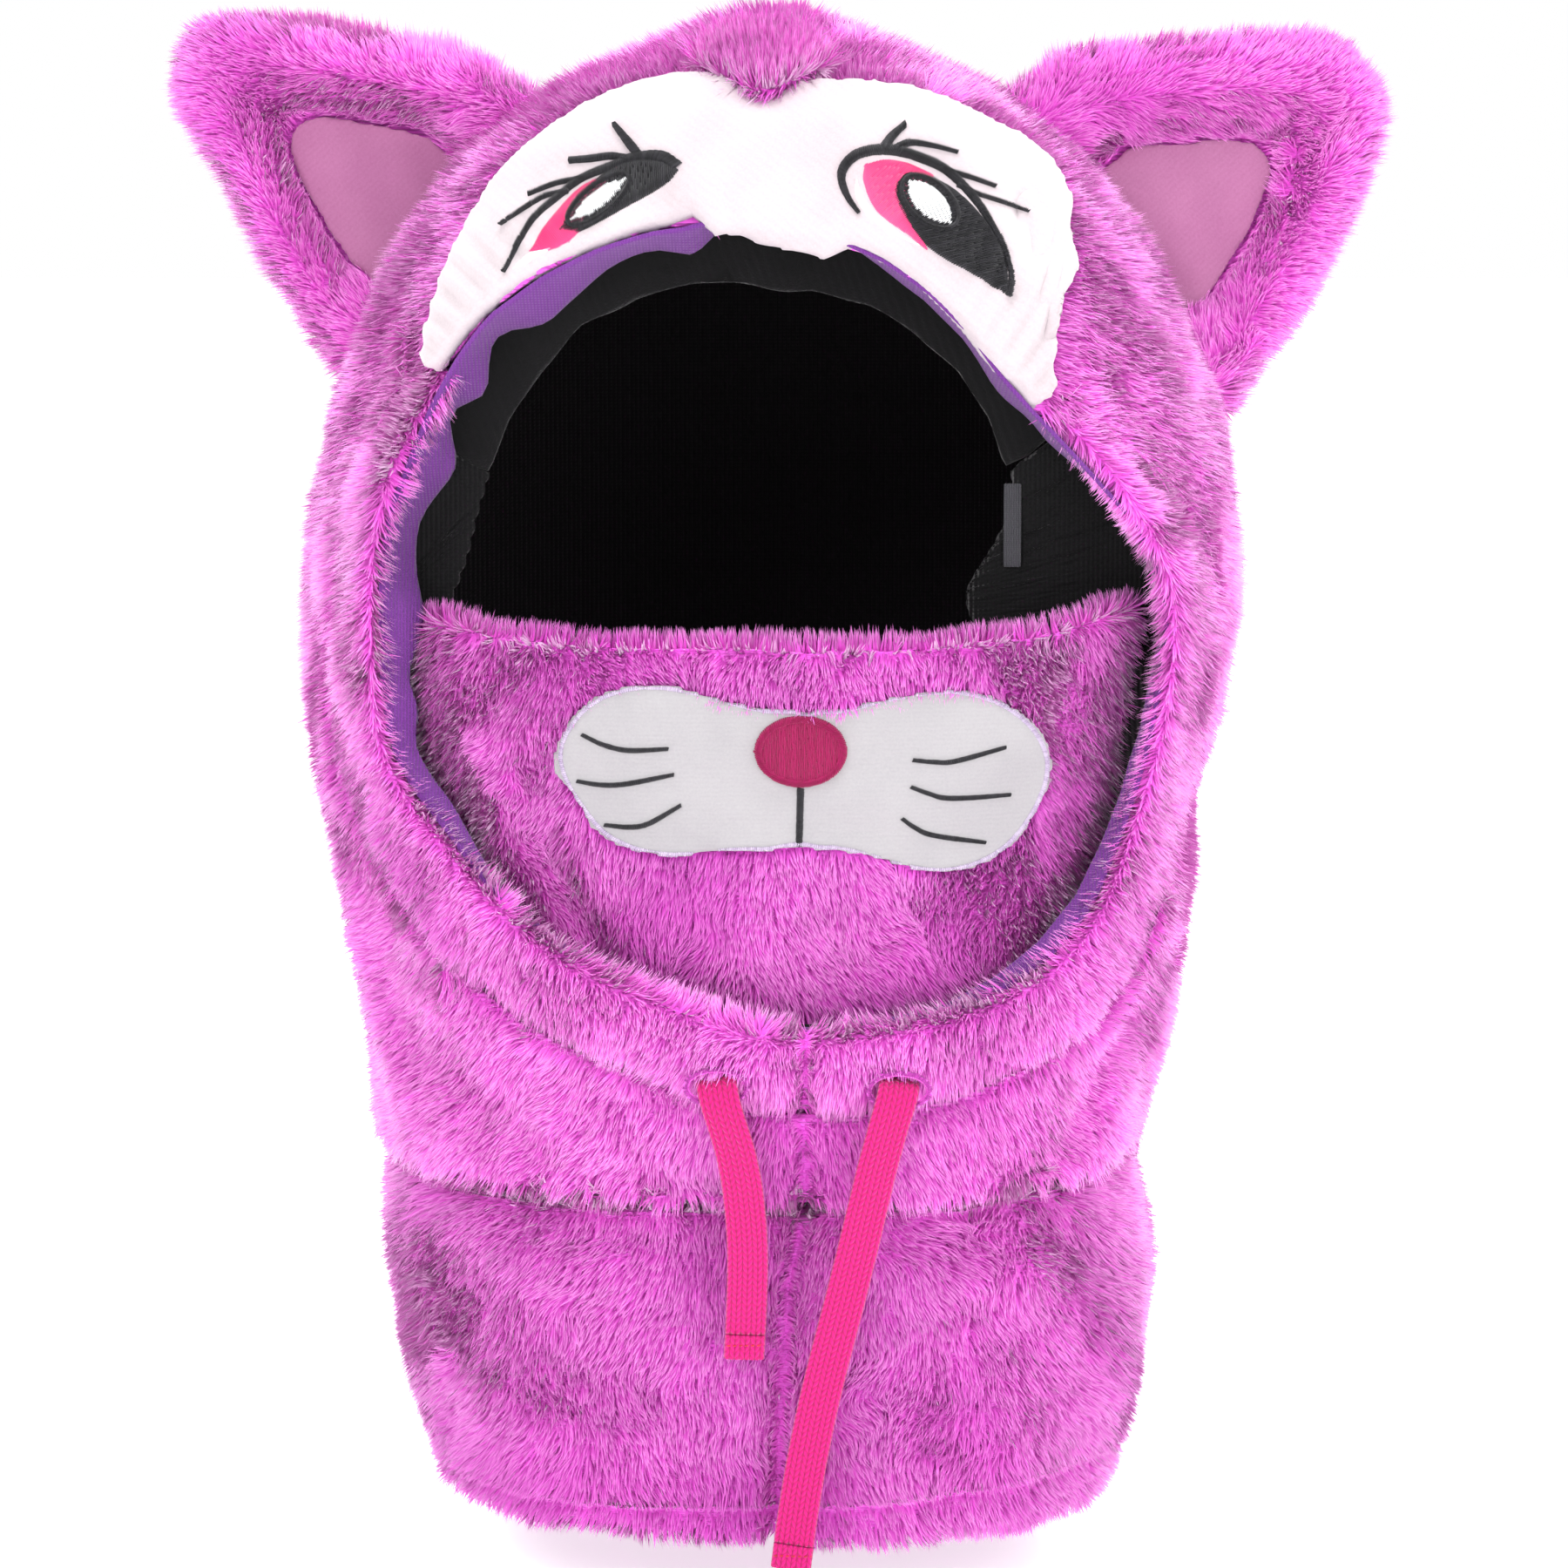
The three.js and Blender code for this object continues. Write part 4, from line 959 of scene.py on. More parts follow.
    def locks(self, roots: Points) -> tuple[Points, Points]:
        """Sorts roots into locks and gives each one's middle and a tone from 0 to 1.

        Args:
            roots: Where the tufts stand.

        Returns:
            The middle and the tone of each tuft's lock.
        """
        warp = 0.4 * self.lock * waves(roots, self.lock * 4, self.seed + 4)
        cell = np.floor((roots + warp) / self.lock).astype(np.int64)
        key = (cell @ np.array([73856093, 19349663, 83492791])) % self.LOCK_TONES
        table = np.random.default_rng(self.seed + 5).random((self.LOCK_TONES, 4))[key]
        return (cell + 0.5 + 0.6 * (table[:, :3] - 0.5)) * self.lock - warp, table[:, 3]

    def blades(self, roots: Points, normals: Points, heading: Points, length: Points,
               rng: np.random.Generator) -> list[bpy.types.Object]:
        """Builds the tufts' blades and stores how far along, how light and how shaded each is.

        Args:
            roots: Where the tufts stand.
            normals: The backing's normals there.
            heading: The way that each tuft leans.
            length: The length of each tuft.
            rng: Draws what differs from tuft to tuft.

        Returns:
            The pile, in as many pieces as it has parts.
        """
        count = len(roots)
        middles, tone = self.locks(roots)
        stood = smoothstep(-0.1, 0.75, normals[:, 2:]) * (self.nap is Nap.OVER_EDGE)
        lean = self.lean * (1 - 0.7 * stood) + 8 * rng.normal(size=(count, 1)) + 14 * (tone[:, None] - 0.5)
        lean = np.radians(lean)
        way = normals * np.cos(lean) + heading * np.sin(lean)
        tip = roots + length[:, None] * way
        pull = middles + normals * np.sum((tip - middles) * normals, axis=1, keepdims=True) - tip
        tip += np.clip(self.LOCK_PULL * pull, -self.LOCK_PULL_MOST, self.LOCK_PULL_MOST)
        across = unit(np.cross(way, normals + 0.22 * rng.normal(size=normals.shape)))
        spread = across * (self.width / 2) * rng.uniform(0.7, 1.2, (count, 1))
        face = unit(np.cross(spread, way))
        agree = np.sum(face * normals, axis=1, keepdims=True)
        outwards = np.where(agree < 0, -1.0, 1.0)
        corners = np.stack([roots - spread * outwards, roots + spread * outwards, tip], axis=1)
        share = np.abs(agree)
        shine = unit(1.3 * share * normals + (1 - share) * face * outwards)
        broad = np.clip(0.5 + 0.3 * waves(roots, self.TONE_SIZE, self.seed + 8)[:, 0], 0, 1)
        own = 0.38 * tone + 0.24 * rng.random(count) + 0.38 * broad
        patch = smoothstep(0.1, 1.5, waves(roots, self.SHADE_SIZE, self.seed + 6)[:, 1]) * self.SHADE_MOST
        colours = np.stack([np.tile([0.0, 0.0, 1.0], (count, 1)), *(
            np.repeat(value[:, None], 3, axis=1) for value in (own, patch))], axis=2)
        sector = np.floor((np.arctan2(roots[:, 0], roots[:, 1]) / math.tau + 0.5) * self.parts) % self.parts
        pieces = []
        for part in range(self.parts):
            chosen = sector == part
            name = self.name if self.parts == 1 else f"{self.name}_{part + 1}"
            points = corners[chosen].reshape(-1, 3)
            piece = piece_from(name, points, np.arange(len(points)).reshape(-1, 3))
            paint(piece, "tuft", colours[chosen].reshape(-1, 3))
            piece.data.normals_split_custom_set_from_vertices(np.repeat(shine[chosen], 3, axis=0))
            pieces.append(piece)
        return pieces


@dataclass
class PlushPiece:
    """One plush piece: a smooth backing made from its CAD solid, and its pile."""

    PRESSED_FROM = 1.5 * MM
    PRESSED_TO = 11 * MM
    UNEVEN = 0.9 * MM
    UNEVEN_SIZE = 48 * MM

    node: str
    pile: Pile
    cuts: int = 2
    rounds: int = 6
    sink: float = 2.4 * MM
    lines: tuple[Line, ...] = ()
    seams: tuple[Line, ...] = ()
    beside: tuple[str, ...] = ()
    shift: tuple[float, float, float] = (0.0, 0.0, 0.0)
    kept: float = 1.0
    reshape: Callable[[Points], Points] = field(default=lambda points: points)
    outward: Callable[[Points, Points], Points] = field(default=lambda points, normals: np.ones(len(points)))

    def backing(self) -> bpy.types.Object:
        """Evens out a copy of the CAD solid, presses its folds in and sinks it by the pile's height.

        Returns:
            The backing.
        """
        piece = merged_copy(self.node, self.node + "_backing")
        modify(piece, "SUBSURF", subdivision_type="SIMPLE", levels=self.cuts, render_levels=self.cuts)
        write_points(piece, self.reshape(read_points(piece)))
        relax(piece, self.rounds)
        points, normals = read_points(piece), read_normals(piece)
        show = self.outward(points, normals)
        for node in self.beside:
            gap = Cloth(bpy.data.objects[node]).distance(points, 12 * MM)
            show = show * smoothstep(self.PRESSED_FROM, self.PRESSED_TO, gap)
        lift = -self.sink * show
        for line in (*self.lines, *self.seams):
            near, _ = line.nearness(points)
            lift += line.rise * MM * near * show
        lift += self.UNEVEN * waves(points, self.UNEVEN_SIZE, self.pile.seed + 7)[:, 0] * show
        write_points(piece, points + normals * lift[:, None] + self.shift)
        if self.kept < 1:
            modify(piece, "DECIMATE", ratio=self.kept)
        smooth_faces(piece)
        return piece

    def build(self, finishes: Finishes, pile_finish: bpy.types.Material, under: Sequence[Cloth] = (),
              slot: str = "plush") -> bpy.types.Object:
        """Builds the backing and grows the pile on it.

        Args:
            finishes: The balaclava's finishes.
            pile_finish: The finish of the tufts.
            under: Cloths that keep the pile away.
            slot: Not used.

        Returns:
            The backing.
        """
        backing = self.backing()
        for pile in self.pile.grow(backing, self.outward, under, self.seams):
            dress(pile, pile_finish)
        return dress(backing, finishes.backing, [self.node])


def away_from_axis(points: Points, normals: Points) -> Points:
    """Says how much of a hood or tube faces out, 1 outside and 0 on its inner wall.

    Args:
        points: The points, one row each.
        normals: The surface's normals at them.

    Returns:
        A share from 0 to 1 for each point.
    """
    centre = np.zeros_like(points)
    centre[:, 2] = np.minimum(points[:, 2], -0.12)
    facing = np.sum(unit(points - centre) * normals, axis=1)
    return smoothstep(-0.35, 0.1, facing)


def clear_of_opening(points: Points, normals: Points) -> Points:
    """Says how much of the hood faces out, leaving out the cut edge that the facing covers.

    Args:
        points: The points, one row each.
        normals: The surface's normals at them.

    Returns:
        A share from 0 to 1 for each point.
    """
    turn, reach = polar(points)
    inwards = -np.sum(normals * way_out(turn), axis=1)
    edge = smoothstep(0.25, 0.55, inwards) * (points[:, 1] < -40 * MM) * (reach < 1.3 * OPENING_RADIUS)
    return away_from_axis(points, normals) * (1 - edge)


def facing_front(points: Points, normals: Points) -> Points:
    """Says how much of a piece faces the front, or stands at its edge."""
    return smoothstep(0.55, 0.1, normals[:, 1]) * np.ones(len(points))


def over_edge(points: Points, normals: Points) -> Points:
    """Says how much of a piece faces the front or up, over its top edge."""
    return smoothstep(0.93, 0.7, normals[:, 1]) * np.ones(len(points))


def casing_front(points: Points, normals: Points) -> Points:
    """Says how much of the casing shows, leaving out its two ends.

    Args:
        points: The points, one row each.
        normals: The surface's normals at them.

    Returns:
        A share from 0 to 1 for each point.
    """
    turn, _ = polar(points)
    angle = np.radians(turn)
    endways = -np.sign(turn) * (normals[:, 0] * np.cos(angle) - normals[:, 2] * np.sin(angle))
    end = smoothstep(0.35, 0.7, endways) * (np.abs(turn) < 75)
    return facing_front(points, normals) * (1 - end)


def drawn_to_panel(points: Points) -> Points:
    """Draws the casing's ends up to the ends of the eye panel.

    Args:
        points: The points, one row each.

    Returns:
        The points in their new places.
    """
    turn, reach = polar(points)
    drawn = turn - 8.0 * smoothstep(76, 60, np.abs(turn)) * np.sign(turn)
    return way_out(drawn) * reach[:, None] + np.outer(points[:, 1], [0, 1, 0]) + [0, 0, OPENING_HEIGHT]


def polar(points: Points) -> tuple[Points, Points]:
    """Gives each point's turn in degrees and reach round the middle of the opening."""
    across, up = points[:, 0], points[:, 2] - OPENING_HEIGHT
    return np.degrees(np.arctan2(across, up)), np.hypot(across, up)


def way_out(turn: Points) -> Points:
    """Gives the way out from the middle of the opening at each turn, in degrees."""
    angle = np.radians(turn)
    return np.stack([np.sin(angle), np.zeros_like(angle), np.cos(angle)], axis=1)


def least_by_turn(turn: Points, values: Points, step: float = 4.0) -> Points:
    """Finds the least value near each point's turn.

    Args:
        turn: The turn of each point, in degrees.
        values: The value of each point.
        step: The width of the windows that are searched.

    Returns:
        The least value at the turn of each point.
    """
    middles = np.arange(turn.min(), turn.max() + step, step)
    near = [np.abs(turn - middle) < 0.7 * step for middle in middles]
    found = [(middle, values[window].min()) for middle, window in zip(middles, near) if window.any()]
    return np.interp(turn, *np.array(found).T)


class Hood:
    """The hood's shell, its stuffed casing, mask and neck tube, all in plush."""

    CENTRE_SEAM = Line(
        ((9.8, -262), (9.5, -277), (8.8, -302), (9.5, -326), (4.6, -351), (2.0, -395), (1.0, -430)),
        3.4, -3.2)
    BACK_SEAM = Line(((0, 13), (0, -140), (0, -330), (0, -430)), 3.0, -2.0, behind=True)
    HEM_SEAM = Line(((-110, -414), (-40, -417), (30, -416), (110, -408)), 2.4, -1.2)
    CHIN_FOLDS = (
        Line(((-92.8, -249), (-80.5, -258.3), (-68, -272), (-59, -281.4), (-48, -283), (-38.8, -287.7)),
             5.5, -5.0),
        Line(((-92.8, -289.4), (-74.2, -306.7), (-55.7, -316.7), (-41, -320.4), (-13.6, -321)), 6.5, -3.5),
        Line(((104.7, -275.8), (84, -314), (76.4, -326.7)), 6.0, -5.5),
        Line(((60, -283), (76, -270), (96, -246)), 6.0, -4.5),
        Line(((-116, -232), (-112, -262), (-103, -292)), 7.0, -3.0),
        Line(((112, -220), (108, -252), (101, -290)), 6.0, -3.5),
    )
    NECK_FOLDS = (
        Line(((23, -343), (48, -346), (73, -350)), 7.0, 2.6),
        Line(((-80, -336), (-58, -345), (-30, -347)), 8.0, 2.2),
        Line(((80, -338), (98, -352)), 7.0, -2.6),
        Line(((-96, -352), (-92, -378), (-96, -405)), 9.0, -2.2),
        Line(((60, -370), (66, -392), (60, -414)), 10.0, 2.0),
    )
    MASK_FOLDS = (
        Line(((-65, -221.8), (-58, -240), (-50.4, -253.7)), 5.0, -3.6),
        Line(((-88, -176), (-84, -200), (-74, -226)), 6.0, 2.0),
        Line(((88, -172), (84, -196)), 5.0, -2.4),
    )

    def pieces(self) -> dict[str, PlushPiece]:
        """Lists the plush pieces that make the hood.

        Returns:
            The pieces by node.
        """
        return {
            "hood_shell": PlushPiece(
                "hood_shell", Pile("hood_pile", Nap.FROM_CROWN, 11, density=1.62, parts=4),
                lines=self.CHIN_FOLDS, seams=(self.CENTRE_SEAM, self.BACK_SEAM),
                beside=("rim_facing", "face_casing"), kept=0.5, outward=clear_of_opening),
            "face_casing": PlushPiece(
                "face_casing", Pile("casing_pile", Nap.DOWN, 23, density=2.5), rounds=3, sink=2.0 * MM,
                beside=("rim_facing",), seams=(self.CENTRE_SEAM,), reshape=drawn_to_panel,
                outward=casing_front),
            "face_mask": PlushPiece(
                "face_mask", Pile("mask_pile", Nap.OVER_EDGE, 37, density=2.5, length=6.2 * MM), rounds=7,
                sink=2.0 * MM, lines=self.MASK_FOLDS, outward=over_edge),
            "neck_tube": PlushPiece(
                "neck_tube", Pile("neck_pile", Nap.DOWN, 41, density=1.75), lines=self.NECK_FOLDS,
                seams=(self.CENTRE_SEAM, self.BACK_SEAM, self.HEM_SEAM), kept=0.6, outward=away_from_axis),
        }

    def build(self, finishes: Finishes, covers: dict[str, Sequence[Cloth]]) -> dict[str, bpy.types.Object]:
        """Builds the plush pieces.

        Args:
            finishes: The balaclava's finishes.
            covers: The cloths that lie on each piece, by node.

        Returns:
            The backings by node.
        """
        made = {}
        for node, piece in self.pieces().items():
            # The mask and the neck tube wear the darker copy of the pile: painted shade.
            finish = finishes.shaded_pile if node in ("face_mask", "neck_tube") else finishes.pile
            made[node] = piece.build(finishes, finish, covers.get(node, ()))
        return made


class Ears:
    """The two padded ears, each with a velour panel in its dish."""

    def build(self, finishes: Finishes) -> None:
        """Builds both ears and their panels.

        Args:
            finishes: The balaclava's finishes.
        """
        for side, seed in (("left", 51), ("right", 67)):
            panel = self.panel(f"ear_panel_{side}", finishes)
            ear = PlushPiece(
                f"ear_{side}", Pile(f"ear_pile_{side}", Nap.OUT_OF_EAR, seed, lean=40, density=2.1),
                rounds=4, sink=2.0 * MM, beside=("hood_shell",))
            made = ear.build(finishes, finishes.pile, [Cloth(panel), Cloth(bpy.data.objects["hood_shell"])])

    def panel(self, node: str, finishes: Finishes) -> bpy.types.Object:
        """Builds a velour panel with soft ripples all over.

        Args:
            node: The ear panel's node.
            finishes: The balaclava's finishes.

        Returns:
            The panel.
        """
        piece = remeshed(node, node + "_velour", 1.0 * MM, 5)
        ripple(piece, 0.7 * MM, 26 * MM, 71)
        modify(piece, "DECIMATE", ratio=0.5)
        smooth_faces(piece)
        return dress(piece, finishes.lilac, [node])


class EyePanel:
    """The cream velour panel, gathered at both ends and turned under at the rim.

    A gather is GATHER_TURN degrees wide, and OVERHANG pairs turns with millimetres.
    """

    GATHER_TURN = 3.4
    GATHER_DEPTH = 1.1 * MM
    TURNED_UNDER = 4.2 * MM
    OVERHANG = ((-52, 0.5), (-40, 1.5), (-25, 2.0), (-14, 1.0), (-10.5, -2.5), (-8, 4.0), (0, 5.0), (8, 4.5),
                (11, 1.5), (20, 2.0), (35, 2.5), (44, 1.0))
    RIDGES = (
        Line(((-24, -40), (-19, -55), (-17.5, -62)), 4.5, 2.0),
        Line(((-13, -44), (-8, -58), (-6, -66)), 4.0, -1.6),
        Line(((18, -47), (14, -60), (8, -68)), 5.0, 1.4),
        Line(((72, -45), (79, -62), (80, -80)), 4.0, -2.0),
        Line(((-48, -26), (-20, -19), (6, -22)), 5.0, 1.3),
    )

    def build(self, finishes: Finishes) -> bpy.types.Object:
        """Builds the panel from its CAD solid.

        Args:
            finishes: The balaclava's finishes.

        Returns:
            The panel.
        """
        piece = remeshed("eye_panel", "eye_panel_velour", 1.6 * MM, 3)
        points, normals = read_points(piece), read_normals(piece)
        turn, reach = polar(points)
        beyond = reach - least_by_turn(turn, reach)
        ends = smoothstep(20, 46, np.abs(turn))
        gather = np.sin(turn * math.tau / self.GATHER_TURN + 14 * reach / OPENING_RADIUS)
        within = -least_by_turn(turn, -reach) - reach
        inside = smoothstep(1.0 * MM, 9 * MM, beyond) * smoothstep(1.0 * MM, 7 * MM, within)
        lift = self.GATHER_DEPTH * ends * gather * inside
        lift += 0.8 * MM * waves(points, 34 * MM, 81)[:, 0] * inside
        for ridge in self.RIDGES:
            near, _ = ridge.nearness(points)
            lift += ridge.rise * MM * near
        points += normals * lift[:, None]
        under = smoothstep(5.0 * MM, 0.5 * MM, beyond)
        points[:, 1] += self.TURNED_UNDER * under
        hang = np.interp(turn, *np.array(self.OVERHANG).T) * MM * smoothstep(14 * MM, 1 * MM, beyond)
        write_points(piece, points - hang[:, None] * way_out(turn))
        modify(piece, "SMOOTH", factor=0.4, iterations=1)
        smooth_faces(piece)
        return dress(piece, finishes.cream, ["eye_panel"])


class Foretuft:
    """The V of longer plush that falls from the crown over the panel."""

    def build(self, finishes: Finishes) -> None:
        """Grows a longer pile on the V's solid.

        Args:
            finishes: The balaclava's finishes.
        """
        pile = Pile("foretuft_pile", Nap.OVER_EDGE, 91, density=3.0, length=9 * MM, lean=60, stray=0.35)
        PlushPiece(
            "foretuft", pile, rounds=3, sink=1.0 * MM, shift=(0.0, 1.6 * MM, -2.2 * MM), outward=facing_front,
        ).build(finishes, finishes.pile)


class MuzzlePatch:
    """The white velour muzzle on the mask."""

    def build(self, finishes: Finishes) -> bpy.types.Object:
        """Builds the patch as an even, softly rippled copy of its solid.

        Args:
            finishes: The balaclava's finishes.

        Returns:
            The patch.
        """
        piece = remeshed("muzzle_patch", "muzzle_velour", 1.5 * MM, 4)
        ripple(piece, 0.6 * MM, 30 * MM, 97)
        smooth_faces(piece)
        return dress(piece, finishes.white, ["muzzle_patch"])


@dataclass
class Lining:
    """The black lining, the facing and what shows inside the hood.

    covered pairs turns in degrees with how far the facing is tucked away there, 1 all the way.
    """

    scallop: float = 2.6 * MM
    rib: float = 3.4 * MM
    tucked: float = 5.0 * MM
    covered: tuple[Place, ...] = (
        (-180, 1), (-136, 1), (-122, 0.1), (-12, 0), (-7, 1), (9, 1), (16, 0.4), (50, 0.5), (92, 0.5),
        (102, 0.0), (140, 0.1), (154, 1), (180, 1))

    def build(self, finishes: Finishes) -> None:
        """Builds the inner pieces.

        Args:
            finishes: The balaclava's finishes.
        """
        self.facing(finishes)
        self.plain("hood_lining", "hood_lining_knit", finishes.black, 1)
        band = self.plain("brow_band", "brow_band_brushed", finishes.brushed, 2)
        ripple(band, 0.8 * MM, 28 * MM, 103)
        for side in ("left", "right"):
            self.ribbed(f"side_knit_{side}", finishes)
        label = self.plain("blank_label", "blank_label_tape", finishes.label, 3)
        points = read_points(label)
        points[:, 1] -= 1.2 * MM * np.sin((points[:, 2] - points[:, 2].min()) / (16 * MM))
        write_points(label, points)

    def plain(self, node: str, name: str, material: bpy.types.Material, cuts: int) -> bpy.types.Object:
        """Subdivides and softens a copy of a node.

        Args:
            node: The CAD node.
            name: The new piece's name.
            material: Its finish.
            cuts: How often it is subdivided.

        Returns:
            The new piece.
        """
        piece = merged_copy(node, name)
        modify(piece, "SUBSURF", subdivision_type="SIMPLE", levels=cuts, render_levels=cuts)
        modify(piece, "SMOOTH", factor=0.4, iterations=2)
        activate(piece)
        bpy.ops.object.shade_smooth_by_angle(angle=math.radians(50))
        return dress(piece, material, [node])

    def ribbed(self, node: str, finishes: Finishes) -> None:
        """Builds a side panel with upright ribs.

        Args:
            node: The knit panel's node.
            finishes: The balaclava's finishes.
        """
        piece = self.plain(node, node + "_ribbed", finishes.black, 3)
        points, normals = read_points(piece), read_normals(piece)
        slant = points[:, 0] + 0.35 * points[:, 2]
        rib = np.abs(np.sin(slant * math.pi / self.rib)) - 0.5
        fold = waves(points, 60 * MM, 107)[:, 0]
        lift = 0.9 * MM * rib + 2.0 * MM * fold
        write_points(piece, points + normals * lift[:, None])

    def facing(self, finishes: Finishes) -> None:
        """Builds the facing with its loose inner edge, scalloped on the left.

        Args:
            finishes: The balaclava's finishes.
        """
        piece = merged_copy("rim_facing", "rim_facing_jersey")
        modify(piece, "SUBSURF", subdivision_type="SIMPLE", levels=2, render_levels=2)
        relax(piece, 3)
        points = read_points(piece)
        turn, _ = polar(points)
        depth = np.clip((points[:, 1] - least_by_turn(turn, points[:, 1])) / (20 * MM), 0, 1)
        loose = smoothstep(-132, -100, turn) * smoothstep(12, -24, turn)
        wave = np.sin(np.radians(turn) * 20 + 1.4 * np.sin(np.radians(turn) * 7))
        push = -depth * (self.scallop * loose * (0.7 + wave) + 0.5 * MM * wave)
        hidden = np.interp(turn, *np.array(self.covered).T) * self.tucked * (0.4 + 0.6 * depth)
        outwards = way_out(turn)
        write_points(piece, points + push[:, None] * outwards + hidden[:, None] * (outwards + [0, 0.5, 0]))
        smooth_faces(piece)
        dress(piece, finishes.purple, ["rim_facing"])


class Outline(Cloth):
    """A flat shape seen from the front, to be filled with threads."""

    def __init__(self, places: Sequence[Place]) -> None:
        """Spans a smooth closed outline through places in millimetres.

        Args:
            places: Where the outline runs, seen from the front.
        """
        ring = through([(x * MM, z * MM) for x, z in (*places, places[0])], 0.8 * MM)[:-1]
        spread = np.stack([ring[:, 0], np.full(len(ring), -0.2), ring[:, 1]], axis=1)
        self.tree = BVHTree.FromPolygons([Vector(p) for p in spread], [tuple(range(len(spread)))])
        self.low = spread.min(axis=0)
        self.high = spread.max(axis=0)


class Stitches:
    """Threads laid on a cloth, collected into one piece."""

    def __init__(self, name: str, cloth: Cloth, seed: int, proud: float = 0.55 * MM) -> None:
        """Starts an empty piece of embroidery.

        Args:
            name: The piece's name.
            cloth: What it is sewn on.
            seed: Chooses how the threads differ.
            proud: How far they stand up from the cloth.
        """
        self.name = name
        self.cloth = cloth
        self.proud = proud
        self.rng = np.random.default_rng(seed)
        self.points: list[Vector] = []
        self.faces: list[tuple[int, int, int, int]] = []
        self.tones: list[float] = []

    def thread(self, places: Sequence[Place], half: float, tone: float, tilt: float = 0.0,
               tucked: tuple[bool, bool] = (True, True)) -> None:
        """Lays one thread.

        Args:
            places: Where it runs, seen from the front.
            half: Half its width.
            tone: Its lightness, 0 to 1.
            tilt: How much the tone rises along it.
            tucked: Whether its start and its end go down into the cloth.
        """
        found = [self.cloth.front(x, z) for x, z in places]
        laid = [spot for spot in found if spot is not None]
        if len(laid) < 2:
            return
        start = len(self.points)
        last = len(laid) - 1
        for i, (point, normal) in enumerate(laid):
            ahead = (laid[min(i + 1, last)][0] - laid[max(i - 1, 0)][0]).normalized()
            side = ahead.cross(normal).normalized() * half
            end = (i == 0 and tucked[0]) or (i == last and tucked[1])
            dimple = 0.72 if i in (0, last) else 1.0
            middle = point + normal * (self.proud * (-0.35 if end else dimple))
            under = point - normal * 0.3 * MM
            flank = point + normal * (self.proud * (-0.4 if end else 0.35 * dimple))
            self.points.extend([flank + side, middle, flank - side, under])
            self.tones.extend([tone + tilt * i / last] * 4)
        for i in range(last):
            a, b = start + 4 * i, start + 4 * (i + 1)
            self.faces.extend((a + j, a + (j + 1) % 4, b + (j + 1) % 4, b + j) for j in range(4))
        self.faces.append((start + 3, start + 2, start + 1, start))
        end = start + 4 * last
        self.faces.append((end, end + 1, end + 2, end + 3))

    def tone(self) -> float:
        """Draws a thread's lightness."""
        return float(self.rng.uniform(0.15, 0.65))

    def stroke(self, places: Sequence[Place], widths: tuple[float, ...], pitch: float = 0.42 * MM,
               slant: float = 0.35, closed: bool = False) -> None:
        """Sews a satin stroke: short threads side by side across a line.

        Args:
            places: The line's places, in metres.
            widths: The stroke's width at even shares of its length.
            pitch: The spacing of the threads.
            slant: How far each thread leans along the line, as a share of its width.
            closed: Whether the line ends where it starts.
        """
        line = through(places, pitch)
        last = len(line) - 1
        shares = np.linspace(0, 1, len(widths))
        for i in range(last if closed else last + 1):
            ahead = line[min(i + 1, last)] - line[max(i - 1, 0)]
            ahead = ahead / max(np.linalg.norm(ahead), 1e-9)
            across = np.array([-ahead[1], ahead[0]]) + slant * ahead
            half = np.interp(i / last, shares, widths) / 2 * self.rng.uniform(0.94, 1.06)
            run = [line[i] + across * half * t for t in (-1.0, -0.55, 0.0, 0.55, 1.0)]
            self.thread(run, pitch * 0.62, self.tone())

    def fill(self, shape: Cloth, angle: float, pitch: float = 0.45 * MM, tilt: float = 0.0,
             base: float | None = None) -> None:
        """Fills a shape with long threads side by side.

        Args:
            shape: The shape to fill.
            angle: The threads' direction, in degrees from +X.
            pitch: Their spacing.
            tilt: How much the tone rises along each thread.
            base: The tone they start at, or none for a random one.
        """
        runs = self.runs(shape, angle, pitch)
        for row, (first, last) in enumerate(runs):
            length = np.linalg.norm(last - first)
            count = max(3, int(length / (1.5 * MM)) + 1)
            shares = np.linspace(0, 1, count)
            line = [tuple(first + (last - first) * share) for share in shares]
            tone = self.tone() if base is None else base + 0.12 * self.rng.random()
            stitches = self.split(line, row)
            for k, piece in enumerate(stitches):
                rise = tilt / len(stitches)
                self.thread(piece, pitch * 0.66, tone + k * rise, rise, (k == 0, k == len(stitches) - 1))

    def split(self, line: list[Place], row: int) -> list[list[Place]]:
        """Breaks a long thread into stitches, staggered from row to row.

        Args:
            line: The thread's places.
            row: The number of its row.

        Returns:
            The places of each stitch.
        """
        stitch = 5
        if len(line) <= stitch + 2:
            return [line]
        cuts = [0, *range(2 + (row * 2) % stitch, len(line) - 2, stitch), len(line) - 1]
        return [line[a:b + 1] for a, b in zip(cuts, cuts[1:])]

